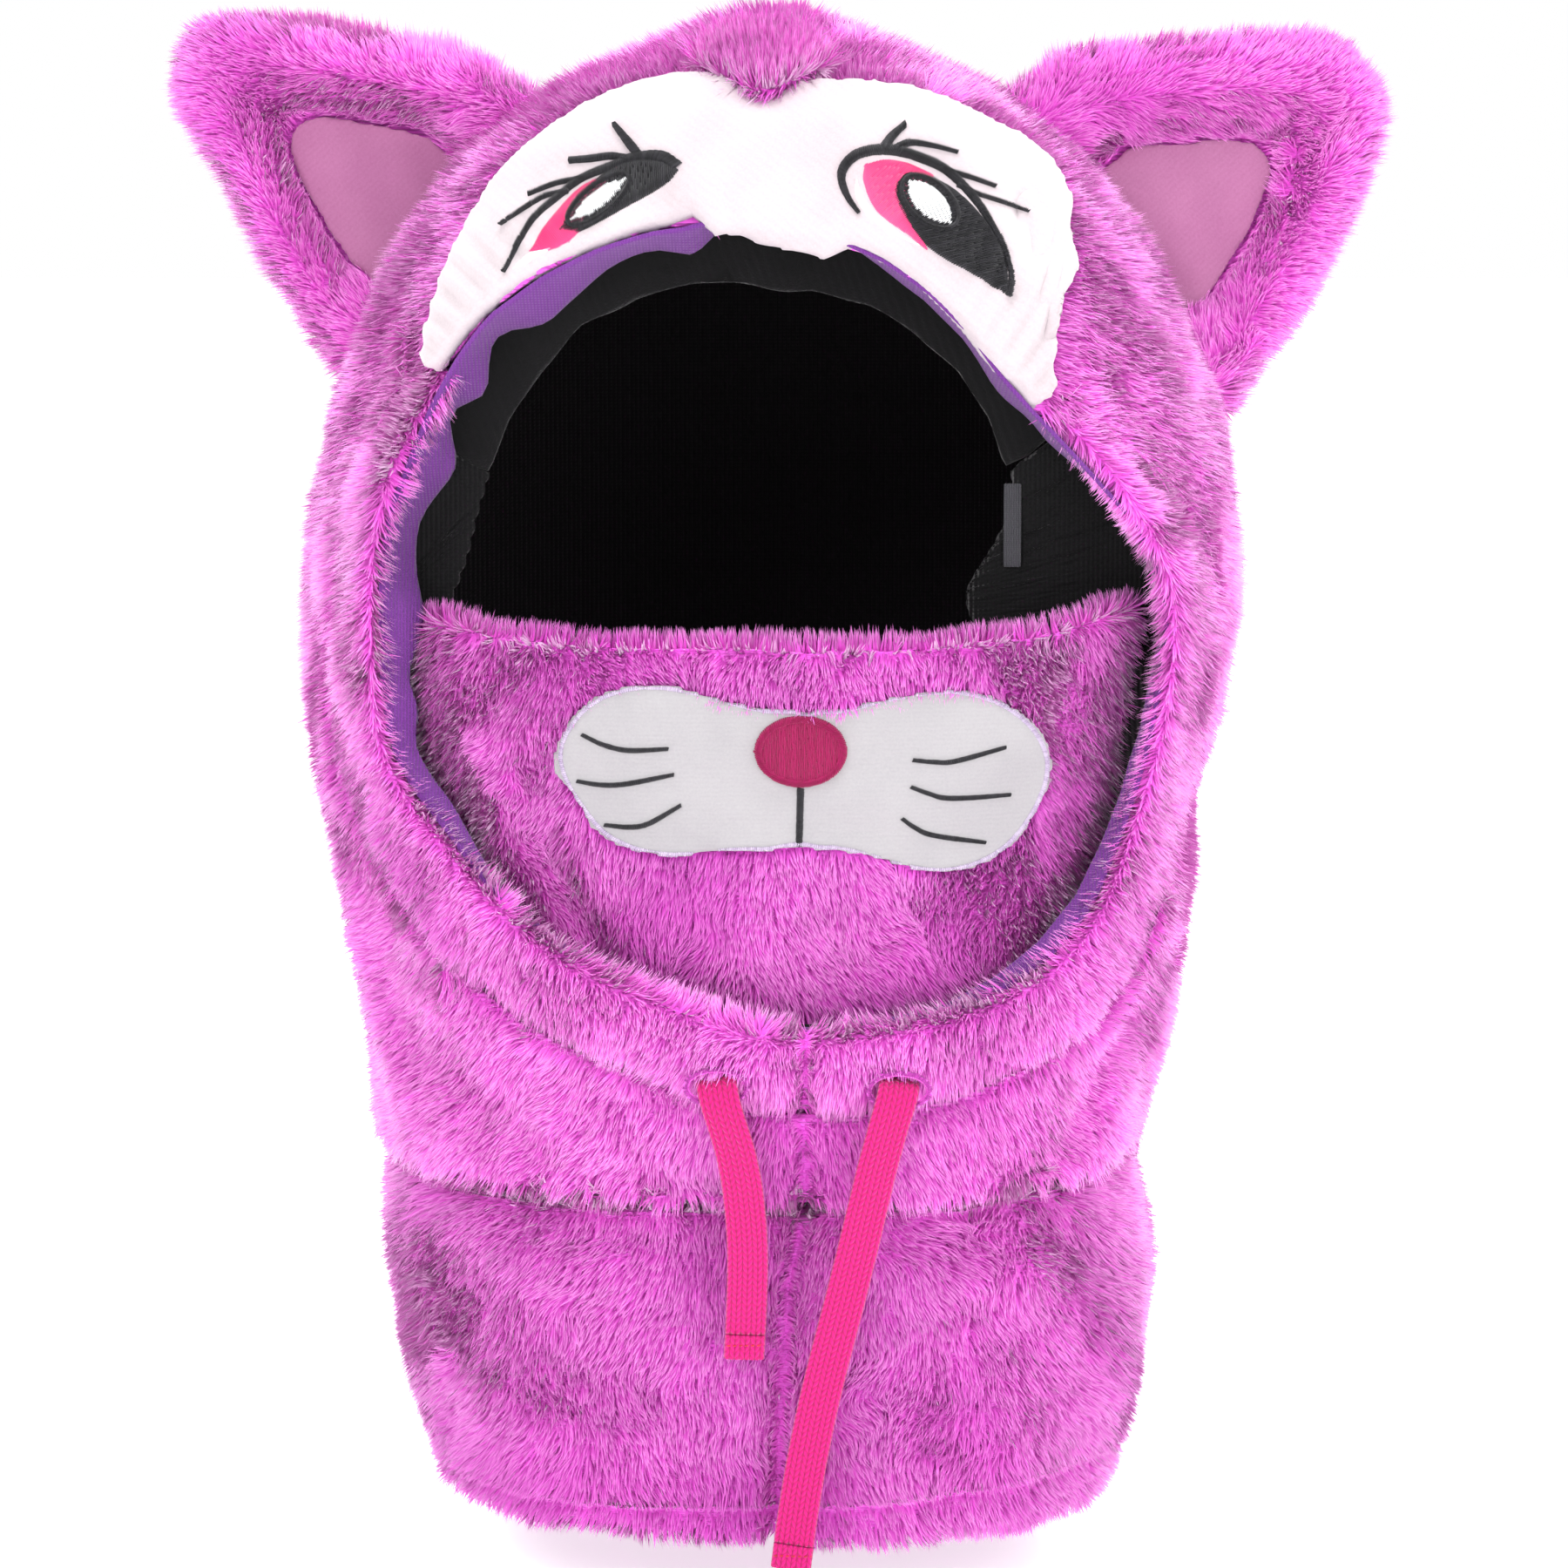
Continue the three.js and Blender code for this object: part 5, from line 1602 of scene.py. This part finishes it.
    def runs(self, shape: Cloth, angle: float, pitch: float) -> list[tuple[Points, Points]]:
        """Finds where rows of threads enter and leave a shape, with their ends evened out.

        Args:
            shape: The shape to fill.
            angle: The rows' direction, in degrees from +X.
            pitch: Their spacing.

        Returns:
            The first and the last place of each row.
        """
        along = np.array([math.cos(math.radians(angle)), math.sin(math.radians(angle))])
        across = np.array([-along[1], along[0]])
        middle = (shape.low + shape.high)[[0, 2]] / 2
        reach = float(np.linalg.norm((shape.high - shape.low)[[0, 2]])) / 2
        fine = 0.25 * MM
        ends = []
        for offset in np.arange(-reach, reach, pitch):
            spots = [middle + across * offset + along * s for s in np.arange(-reach, reach, fine)]
            inside = [i for i, spot in enumerate(spots) if shape.front(*spot) is not None]
            if len(inside) > 2:
                ends.append((offset, inside[0] * fine - reach, inside[-1] * fine - reach))
        if not ends:
            return []
        table = np.array(ends)
        window = min(7, len(table) // 2 * 2 - 1)
        for column in (1, 2) if window > 2 else ():
            padded = np.pad(table[:, column], window // 2, mode="reflect", reflect_type="odd")
            table[:, column] = np.convolve(padded, np.ones(window) / window, mode="valid")
        return [
            (middle + across * offset + along * first, middle + across * offset + along * last)
            for offset, first, last in table if last > first + fine
        ]

    def build(self, material: bpy.types.Material, slot: str,
              stands_for: Sequence[str] = ()) -> bpy.types.Object:
        """Makes the threads one piece and dresses it.

        Args:
            material: The thread's finish.
            slot: Not used.
            stands_for: The CAD nodes that it replaces.

        Returns:
            The embroidery.
        """
        points = np.array([tuple(p) for p in self.points])
        piece = piece_from(self.name, points, np.array(self.faces))
        paint(piece, "stitch", np.clip(np.array(self.tones), 0, 1)[:, None])
        return dress(piece, material, stands_for)


def mm_places(*places: Place) -> list[Place]:
    """Turns places in millimetres into metres."""
    return [(x * MM, z * MM) for x, z in places]


def ring_inside(box: tuple[Vector, Vector], inset: float, count: int) -> list[Place]:
    """Draws a closed oval inside a box, seen from the front.

    Args:
        box: The box's low and high corners.
        inset: How far inside the box it stays.
        count: How many places it has.

    Returns:
        Its places, in metres.
    """
    low, high = box
    middle, half = (low + high) / 2, (high - low) / 2
    return [
        (middle.x + (half.x - inset) * math.cos(t), middle.z + (half.z - inset) * math.sin(t))
        for t in np.linspace(0, math.tau, count)
    ]


class Eyes:
    """The two embroidered eyes: white, iris, pupil, ringed glint, lid and lashes.

    Places are in millimetres, seen from the front. LIDS and LASHES pair a line with its widths, GLINTS
    hold a middle, two half widths and a slope, and CRESCENTS the iris threads' slope, tone and its rise.
    """

    LASHES = {
        "left": (
            (((-43.9, -22.9), (-40.7, -26.8), (-36.8, -31.7)), (1.9, 2.8, 3.2)),
            (((-56.4, -32.8), (-51.2, -32.4), (-45.1, -31.6), (-40.6, -32.2)), (1.9, 2.2, 2.4)),
            (((-68, -42.3), (-60.2, -39.3), (-52.8, -37.7), (-45, -34.9)), (0.8, 1.2, 1.5)),
            (((-75.5, -50.4), (-69.5, -46.5), (-63.4, -42.9), (-56.8, -41.5)), (0.7, 1.0, 1.3)),
        ),
        "right": (
            (((37.2, -22.8), (33.5, -26.1), (31, -29.8)), (1.9, 2.8, 3.4)),
            (((51.8, -30.5), (45.1, -28.7), (38.7, -27.9), (33.9, -29.8)), (0.9, 1.6, 2.6)),
            (((62.3, -40), (55.6, -37.6), (48.7, -35.5)), (0.8, 1.2, 1.6)),
            (((71.7, -46.9), (63.6, -44.2), (57.2, -42.1), (51.9, -39.8)), (0.6, 0.9, 1.2)),
        ),
    }
    LIDS = {
        "left": (
            ((-74.5, -63.4), (-67.3, -50.1), (-60.1, -43.3), (-52.8, -37.7), (-43, -33.7), (-38.6, -32.1),
             (-30.9, -31.7), (-26.4, -34.5)),
            (1.0, 1.6, 1.9, 2.4, 3.4, 4.4)),
        "right": (
            ((24, -47.3), (20.9, -42.9), (19.3, -37.7), (20.4, -34), (23.9, -31.1), (29.7, -29.8),
             (36, -30.3), (42.4, -32.4), (48.7, -35.5), (55.6, -42.4), (61.3, -50.8), (64.9, -58.1),
             (66.4, -64.4), (65.6, -70.1)),
            (1.0, 3.2, 3.4, 3.0, 2.4, 1.8, 1.6)),
    }
    PUPILS = {
        "left": ((-59, -53), (-58, -49), (-51.5, -39.5), (-42.5, -33), (-35, -31.5), (-27, -33.5), (-28, -39),
                 (-41.5, -47), (-54, -53.5)),
        "right": ((33, -43), (34, -38.5), (40.5, -36.5), (52, -41), (63, -53.5), (66.5, -65.5), (65, -70),
                  (55.5, -64.5), (43.5, -57.5), (36, -49)),
    }
    IRISES = {
        "left": ((-67.5, -58), (-64.5, -51.5), (-55.5, -41), (-49, -37), (-42.5, -35), (-48.5, -46.5),
                 (-55.5, -55.5), (-62, -58.5)),
        "right": ((24.5, -38), (26, -34), (32, -32), (39.5, -33.5), (46.5, -37.5), (39.5, -41.5), (38, -46),
                  (43.5, -57.5), (36, -53), (28, -46.5)),
    }
    WHITES = {
        "left": ((-72.5, -63), (-71, -60.5), (-67.5, -57.5), (-61, -57), (-68, -62)),
        "right": ((23.5, -36.5), (25.5, -42), (32, -50), (42.5, -57), (30, -51.5), (23, -44)),
    }
    GLINTS = {"left": ((-48, -44), (8.5, 3.2), 38.0), "right": ((43.5, -44.8), (7.5, 4.4), -41.0)}
    CRESCENTS = {"left": (128.0, 0.5, -0.45), "right": (42.0, 0.85, -0.75)}
    THREADS = {"left": 38.0, "right": -42.0}

    def oval(self, side: str, share: float) -> list[Place]:
        """Draws one glint's oval.

        Args:
            side: The eye.
            share: Its size, as a share of the glint's.

        Returns:
            Its places, in millimetres.
        """
        (x, z), (length, width), angle = self.GLINTS[side]
        along = np.array([math.cos(math.radians(angle)), math.sin(math.radians(angle))])
        across = np.array([-along[1], along[0]])
        return [
            tuple(np.array([x, z]) + share * (along * length * math.cos(t) + across * width * math.sin(t)))
            for t in np.linspace(0, math.tau, 24, endpoint=False)
        ]

    def build(self, finishes: Finishes, panel: Cloth) -> None:
        """Sews both eyes on the panel.

        Args:
            finishes: The balaclava's finishes.
            panel: The panel's surface.
        """
        for side, seed in (("left", 200), ("right", 300)):
            angle = self.THREADS[side]
            across, base, tilt = self.CRESCENTS[side]
            white = Stitches(f"eye_white_{side}_satin", panel, seed + 5, 0.6 * MM)
            white.fill(Outline(self.WHITES[side]), across)
            white.build(finishes.white_thread, "white_thread")
            iris = Stitches(f"eye_iris_{side}_satin", panel, seed, 0.9 * MM)
            iris.fill(Outline(self.IRISES[side]), across, tilt=tilt, base=base)
            iris.build(finishes.iris_thread, "iris_thread", [f"eye_iris_{side}"])
            pupil = Stitches(f"eye_pupil_{side}_satin", panel, seed + 1, 1.4 * MM)
            pupil.fill(Outline(self.PUPILS[side]), angle + 55)
            pupil.build(finishes.black_thread, "black_thread", [f"eye_pupil_{side}"])
            glint = Stitches(f"eye_glint_{side}_satin", panel, seed + 2, 2.0 * MM)
            glint.fill(Outline(self.oval(side, 1.12)), angle + 80)
            glint.build(finishes.white_thread, "white_thread", [f"eye_glint_{side}"])
            ring = Stitches(f"eye_ring_{side}_satin", panel, seed + 4, 2.2 * MM)
            places = self.oval(side, 1.22)
            ring.stroke(mm_places(*places, places[0]), (1.6 * MM, 1.6 * MM), closed=True)
            ring.build(finishes.black_thread, "black_thread")
            lid = Stitches(f"eye_lid_{side}_satin", panel, seed + 3, 1.5 * MM)
            places, widths = self.LIDS[side]
            lid.stroke(mm_places(*places), tuple(w * MM for w in widths))
            for places, widths in self.LASHES[side]:
                lid.stroke(mm_places(*places), tuple(w * MM for w in widths))
            lid.build(finishes.black_thread, "black_thread", [f"eye_lid_{side}"])


class Muzzle:
    """The muzzle's embroidery: its satin edge, nose, mouth line and whiskers."""

    WHISKERS = (
        ((-53, -192.5), (-47, -195.2), (-40, -196.6), (-29, -196)),
        ((-54.5, -205.8), (-48, -206.6), (-41, -206.2), (-27.5, -203.3)),
        ((-46.8, -218), (-40, -218.4), (-34.5, -217.3), (-25.5, -212)),
        ((39.5, -199.4), (45, -200), (51, -200), (65.5, -196.6)),
        ((39, -207), (44, -209), (50, -210.5), (67, -210.4)),
        ((36.5, -216), (40, -218.6), (45.2, -221), (60, -223.7)),
    )
    MOUTH = ((8, -207), (7.8, -216), (7.5, -226))

    def build(self, finishes: Finishes, patch: Cloth) -> None:
        """Sews the muzzle.

        Args:
            finishes: The balaclava's finishes.
            patch: The patch's surface.
        """
        edge = Stitches("muzzle_edge_satin", patch, 400, 0.8 * MM)
        edge.stroke(self.rim(patch), (1.3 * MM, 1.3 * MM), pitch=0.6 * MM, closed=True)
        edge.build(finishes.edge_thread, "white_thread")
        lines = Stitches("muzzle_lines_satin", patch, 401, 0.7 * MM)
        lines.stroke(mm_places(*self.MOUTH), (2.4 * MM, 2.2 * MM))
        for places in self.WHISKERS:
            lines.stroke(mm_places(*places), (1.3 * MM, 1.7 * MM, 1.7 * MM, 1.3 * MM))
        lines.build(finishes.black_thread, "black_thread")
        self.nose(finishes, patch)

    def rim(self, patch: Cloth) -> list[Place]:
        """Walks round the patch's outline, just inside its edge.

        Args:
            patch: The patch's surface.

        Returns:
            The places of a closed line.
        """
        middle = (patch.low + patch.high)[[0, 2]] / 2
        reach = float((patch.high - patch.low)[0]) / 2
        radii = []
        angles = np.radians(np.arange(0, 360, 2))
        for angle in angles:
            heading = np.array([math.cos(angle), math.sin(angle)])
            steps = np.arange(reach, 0, -0.4 * MM)
            radii.append(next((r for r in steps if patch.front(*(middle + heading * r)) is not None), 0.0))
        padded = np.pad(np.array(radii), 3, mode="wrap")
        even = np.convolve(padded, np.ones(7) / 7, mode="valid") - 0.7 * MM
        places = [tuple(middle + r * np.array([math.cos(a), math.sin(a)])) for a, r in zip(angles, even)]
        return [*places, places[0]]

    def nose(self, finishes: Finishes, patch: Cloth) -> None:
        """Sews the nose: brick rows of thread inside a satin ring.

        Args:
            finishes: The balaclava's finishes.
            patch: The patch's surface.
        """
        nose = Stitches("nose_satin", patch, 402, 1.0 * MM)
        nose.fill(Cloth(bpy.data.objects["nose"]), 90, 0.5 * MM)
        ring = Stitches("nose_ring_satin", patch, 403, 1.5 * MM)
        line = ring_inside(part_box("nose"), 1.3 * MM, 49)
        ring.stroke(line, (2.6 * MM, 2.6 * MM), pitch=0.55 * MM, slant=0.8, closed=True)
        nose.build(finishes.nose_thread, "nose_thread", ["nose"])
        ring.build(finishes.nose_thread, "nose_thread")


@dataclass(frozen=True)
class CordRoute:
    """One drawcord's way: x, y, z in millimetres and the tape's twist in degrees."""

    side: str
    seed: int
    points: tuple[tuple[float, float, float, float], ...]


class Drawcords:
    """The two flat braided cords with their folded, stitched ends."""

    ROUTES = (
        CordRoute("left", 501, (
            (-15.5, -122.0, -289.0, 10), (-15.0, -124.6, -291.2, 12), (-14.2, -125.8, -294.8, 14),
            (-12.9, -125.9, -299.0, 14), (-11.5, -125.4, -303.6, 12), (-10.2, -124.6, -308.2, 10),
            (-9.2, -123.7, -313.0, 8), (-8.3, -122.7, -318.2, 6), (-7.7, -121.6, -323.6, 4),
            (-7.2, -120.5, -329.2, 2), (-6.9, -119.4, -335.0, 0), (-6.8, -118.3, -340.8, 0),
            (-6.9, -117.2, -346.6, 0), (-7.1, -116.2, -352.4, -2), (-7.3, -115.3, -357.6, -3),
            (-7.5, -114.7, -361.4, -4))),
        CordRoute("right", 502, (
            (35.6, -119.8, -290.4, -8), (35.1, -122.3, -292.6, -10), (34.1, -123.5, -296.2, -12),
            (32.7, -123.8, -300.8, -12), (31.2, -123.5, -306.4, -11), (29.5, -122.8, -312.8, -10),
            (27.8, -121.8, -320.2, -9), (26.0, -120.6, -328.0, -7), (24.2, -119.4, -336.0, -5),
            (22.3, -118.1, -344.0, -4), (20.4, -116.9, -352.0, -3), (18.4, -115.7, -360.0, -2),
            (16.4, -114.5, -368.0, 0), (14.5, -113.4, -376.0, 0), (12.7, -112.4, -384.0, 0),
            (11.1, -111.5, -392.0, 0), (9.6, -110.7, -400.0, 0), (8.3, -109.9, -408.0, 2),
            (7.1, -109.2, -416.0, 4), (6.2, -108.7, -423.0, 6))),
    )
    COLUMNS = 8
    ACROSS = 4
    STEP = 1.2 * MM
    LEAD = (0.0, 4.0 * MM, 1.0 * MM)

    def build(self, finishes: Finishes) -> None:
        """Builds both cords with their tabs.

        Args:
            finishes: The balaclava's finishes.
        """
        for route in self.ROUTES:
            spine = through(np.array(route.points) * MM, self.STEP)
            line, twist = spine[:, :3], spine[:, 3] / MM
            lead = [line[0] + np.array(self.LEAD) * share for share in (1.0, 0.66, 0.33)]
            turned = np.concatenate([np.full(3, twist[0]), twist])
            whole = np.vstack([lead, line])
            cord = self.tape(f"drawcord_{route.side}_braid", whole, turned, CORD_THICKNESS, 0.0)
            dress(cord, finishes.cord, [f"drawcord_{route.side}"])
            ahead = unit((line[-1] - line[-4])[None])[0]
            start = line[-1] + ahead * 0.3 * MM
            run = np.array([start + ahead * TAB_LENGTH * share for share in np.linspace(0, 1, 10)])
            flat = np.full(len(run), twist[-1])
            tab = self.tape(f"drawcord_tab_{route.side}_fold", run, flat, TAB_THICKNESS, 0.35 * MM)
            dress(tab, finishes.cord, [f"drawcord_tab_{route.side}"])
            stitches = self.tab_stitches(route, run, finishes)

    def tape(self, name: str, line: Points, twist: Points, thickness: float,
             pinch: float) -> bpy.types.Object:
        """Sweeps a flat ribbed tape along a line, with its UV map.

        Args:
            name: The piece's name.
            line: The middle of the tape.
            twist: How its face turns, in degrees, at each point.
            thickness: Its thickness.
            pinch: How much thinner its stitched line is.

        Returns:
            The tape.
        """
        shares = np.linspace(-1, 1, self.COLUMNS * self.ACROSS + 1)
        ridge = np.abs(np.sin((shares + 1) / 2 * self.COLUMNS * math.pi)) * 0.16 * MM
        edge = np.sqrt(np.clip(1 - np.abs(shares) ** 6, 0.02, 1))
        face = (thickness / 2 - 0.16 * MM) * edge + ridge
        profile = [(s, h) for s, h in zip(shares, face)] + [(s, -h) for s, h in zip(shares[::-1], face[::-1])]
        around, count = len(profile), len(line)
        points, last = [], count - 1
        for i, centre in enumerate(line):
            ahead = unit((line[min(i + 1, last)] - line[max(i - 1, 0)])[None])[0]
            across = Vector((1, 0, 0))
            across.rotate(Quaternion(Vector(ahead), math.radians(twist[i])))
            across = np.array(across) - ahead * np.dot(across, ahead)
            across /= np.linalg.norm(across)
            up = np.cross(across, ahead)
            thin = 1 - pinch / thickness * math.exp(-((i / last - 0.45) / 0.12) ** 2) * 2
            points.extend(centre + across * s * CORD_WIDTH / 2 + up * h * thin for s, h in profile)
        faces = []
        for i in range(last):
            here, beyond = i * around, (i + 1) * around
            for j in range(around):
                after = (j + 1) % around
                faces.append((here + j, here + after, beyond + after, beyond + j))
        half = around // 2
        for ring, flip in ((0, False), (last, True)):
            start = ring * around
            for j in range(half - 1):
                quad = (start + j, start + j + 1, start + around - 2 - j, start + around - 1 - j)
                faces.append(quad[::-1] if flip else quad)
        piece = piece_from(name, np.array(points), np.array(faces))
        self.outwards(piece)
        self.unwrap(piece, profile, line)
        return piece

    def outwards(self, piece: bpy.types.Object) -> None:
        """Turns every face of a closed piece outwards.

        Args:
            piece: The piece.
        """
        work = bmesh.new()
        work.from_mesh(piece.data)
        bmesh.ops.recalc_face_normals(work, faces=work.faces)
        work.to_mesh(piece.data)
        work.free()

    def unwrap(self, piece: bpy.types.Object, profile: list[Place], line: Points) -> None:
        """Stores where each corner lies across and along the tape.

        Args:
            piece: The tape.
            profile: Its cross-section.
            line: Its middle.
        """
        run = np.concatenate([[0], np.cumsum(np.linalg.norm(np.diff(line, axis=0), axis=1))])
        across = np.array([(s + 1) / 2 for s, _ in profile])
        corners = np.empty(len(piece.data.loops), np.int32)
        piece.data.loops.foreach_get("vertex_index", corners)
        layer = piece.data.uv_layers.new(name="tape")
        pairs = np.stack([across[corners % len(profile)], run[corners // len(profile)]], axis=1)
        layer.data.foreach_set("uv", pairs.astype(np.float32).ravel())

    def tab_stitches(self, route: CordRoute, run: Points, finishes: Finishes) -> bpy.types.Object:
        """Sews the row of dark stitches that holds a cord's folded end.

        Args:
            route: The cord's way.
            run: The middle of the folded end.
            finishes: The balaclava's finishes.

        Returns:
            The stitches.
        """
        low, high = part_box(f"drawcord_tab_{route.side}")
        cloth = Cloth(bpy.data.objects[f"drawcord_tab_{route.side}_fold"])
        seam = Stitches(f"drawcord_tab_{route.side}_seam", cloth, route.seed, 0.35 * MM)
        height = float(run[4][2])
        for x in np.arange(low.x + 0.8 * MM, high.x - 0.8 * MM, 1.7 * MM):
            places = [(x + t * MM, height + 0.12 * t * MM) for t in (0.0, 0.45, 0.9, 1.3)]
            seam.thread(places, 0.28 * MM, seam.tone())
        return seam.build(finishes.seam_thread, "cord")


class Buttonholes:
    """The stitched rims that the cords come out of."""

    def build(self, finishes: Finishes) -> None:
        """Winds threads round each rim's solid.

        Args:
            finishes: The balaclava's finishes.
        """
        for side, seed in (("left", 601), ("right", 602)):
            node = f"buttonhole_{side}"
            rim = Stitches(node + "_satin", Cloth(bpy.data.objects[node]), seed, 0.5 * MM)
            line = ring_inside(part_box(node), 1.0 * MM, 41)
            rim.stroke(line, (1.7 * MM, 1.7 * MM), pitch=0.5 * MM, slant=0.2, closed=True)
            core = merged_copy(node, node + "_rim")
            modify(core, "SUBSURF", levels=1, render_levels=1)
            dress(core, finishes.backing, [node])
            rim.build(finishes.hole_thread, "plush_dark")


@dataclass(frozen=True)
class Lamp:
    """A soft studio light."""

    name: str
    place: tuple[float, float, float]
    size: float
    power: float


@dataclass(frozen=True)
class Studio:
    """The camera, the soft lights and the pale floor."""

    eye: tuple[float, float, float] = (3.4 * MM, -1791.7 * MM, -44.5 * MM)
    target: tuple[float, float, float] = (3.4 * MM, 0.0, -217 * MM)
    lens: float = 138.6
    floor_height: float = -442 * MM
    lamps: tuple[Lamp, ...] = (
        Lamp("key", (-1.1, -1.9, 1.2), 1.3, 27),
        Lamp("top", (0.1, -0.5, 1.6), 1.0, 26),
        Lamp("fill", (1.5, -1.7, 0.35), 1.6, 22),
        Lamp("rim_left", (-1.3, 1.0, 0.9), 1.1, 30),
        Lamp("rim_right", (1.3, 1.0, 0.9), 1.1, 30),
    )

    def build(self) -> None:
        """Sets the studio up."""
        self.camera()
        for lamp in self.lamps:
            self.light(lamp)
        self.backdrop()
        bpy.context.scene.view_settings.view_transform = "Standard"

    def camera(self) -> None:
        """Places the camera at the photograph's angle."""
        data = bpy.data.cameras.new("camera")
        data.lens = self.lens
        data.sensor_width = 36
        camera = linked("camera", data)
        camera.location = self.eye
        camera.rotation_euler = (Vector(self.target) - Vector(self.eye)).to_track_quat("-Z", "Y").to_euler()
        bpy.context.scene.camera = camera

    def light(self, lamp: Lamp) -> None:
        """Hangs one area light, turned to the hood.

        Args:
            lamp: The lamp.
        """
        data = bpy.data.lights.new(lamp.name, "AREA")
        data.size = lamp.size
        data.energy = lamp.power
        light = linked(lamp.name, data)
        light.location = lamp.place
        light.rotation_euler = (Vector(self.target) - Vector(lamp.place)).to_track_quat("-Z", "Y").to_euler()

    def backdrop(self) -> None:
        """Lays a wide pale floor under a pale world."""
        deselect()
        bpy.ops.mesh.primitive_plane_add(size=60, location=(0, 0, self.floor_height))
        floor = bpy.context.object
        floor.name = "studio_floor"
        paper = Nodes("studio_paper")
        tone = paper.ramp(paper.noise(3), [(0.3, (0.86, 0.86, 0.87)), (0.7, (0.9, 0.9, 0.9))])
        paper.surface(0.9)
        paper.shader.inputs["Emission Color"].default_value = (1, 1, 1, 1)
        paper.shader.inputs["Emission Strength"].default_value = 0.6
        floor.data.materials.append(paper.colour(tone))
        bpy.context.scene.world = self.sky()

    def sky(self) -> bpy.types.World:
        """Builds a world that is white at the horizon and greyer overhead.

        Returns:
            The world.
        """
        world = bpy.data.worlds.new("studio_world")
        world.use_nodes = True
        tree = world.node_tree
        way = tree.nodes.new("ShaderNodeTexCoord")
        parts = tree.nodes.new("ShaderNodeSeparateXYZ")
        ramp = tree.nodes.new("ShaderNodeValToRGB")
        tree.links.new(way.outputs["Generated"], parts.inputs[0])
        tree.links.new(parts.outputs["Z"], ramp.inputs[0])
        tree.links.new(ramp.outputs[0], tree.nodes["Background"].inputs["Color"])
        low, high = ramp.color_ramp.elements
        low.position, low.color = 0.2, (1, 1, 1, 1)
        high.position, high.color = 0.6, (0.66, 0.66, 0.67, 1)
        return world


def corners(bounds: tuple[Vector, Vector]) -> list[list[float]]:
    """Turns a box's corners into plain lists."""
    return [list(corner) for corner in bounds]


def main() -> None:
    """Builds the balaclava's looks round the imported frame."""
    logging.basicConfig(level=logging.INFO, format="%(message)s")
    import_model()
    Studio().build()
    finishes = Finishes()
    Drawcords().build(finishes)
    panel = EyePanel().build(finishes)
    patch = MuzzlePatch().build(finishes)
    panel_cloth, patch_cloth = Cloth(panel), Cloth(patch)
    Eyes().build(finishes, panel_cloth)
    Muzzle().build(finishes, patch_cloth)
    Lining().build(finishes)
    Buttonholes().build(finishes)
    hole_cloth = Cloth(bpy.data.objects["buttonhole_right"])
    ear_cloth = Cloth(*(bpy.data.objects[f"ear_{side}"] for side in ("left", "right")))
    casing_cloth = Cloth(bpy.data.objects["face_casing"])
    Hood().build(finishes, {
        "hood_shell": [panel_cloth, ear_cloth, casing_cloth],
        "face_mask": [patch_cloth],
        "face_casing": [hole_cloth],
    })
    Ears().build(finishes)
    Foretuft().build(finishes)


if __name__ == "__main__":
    main()
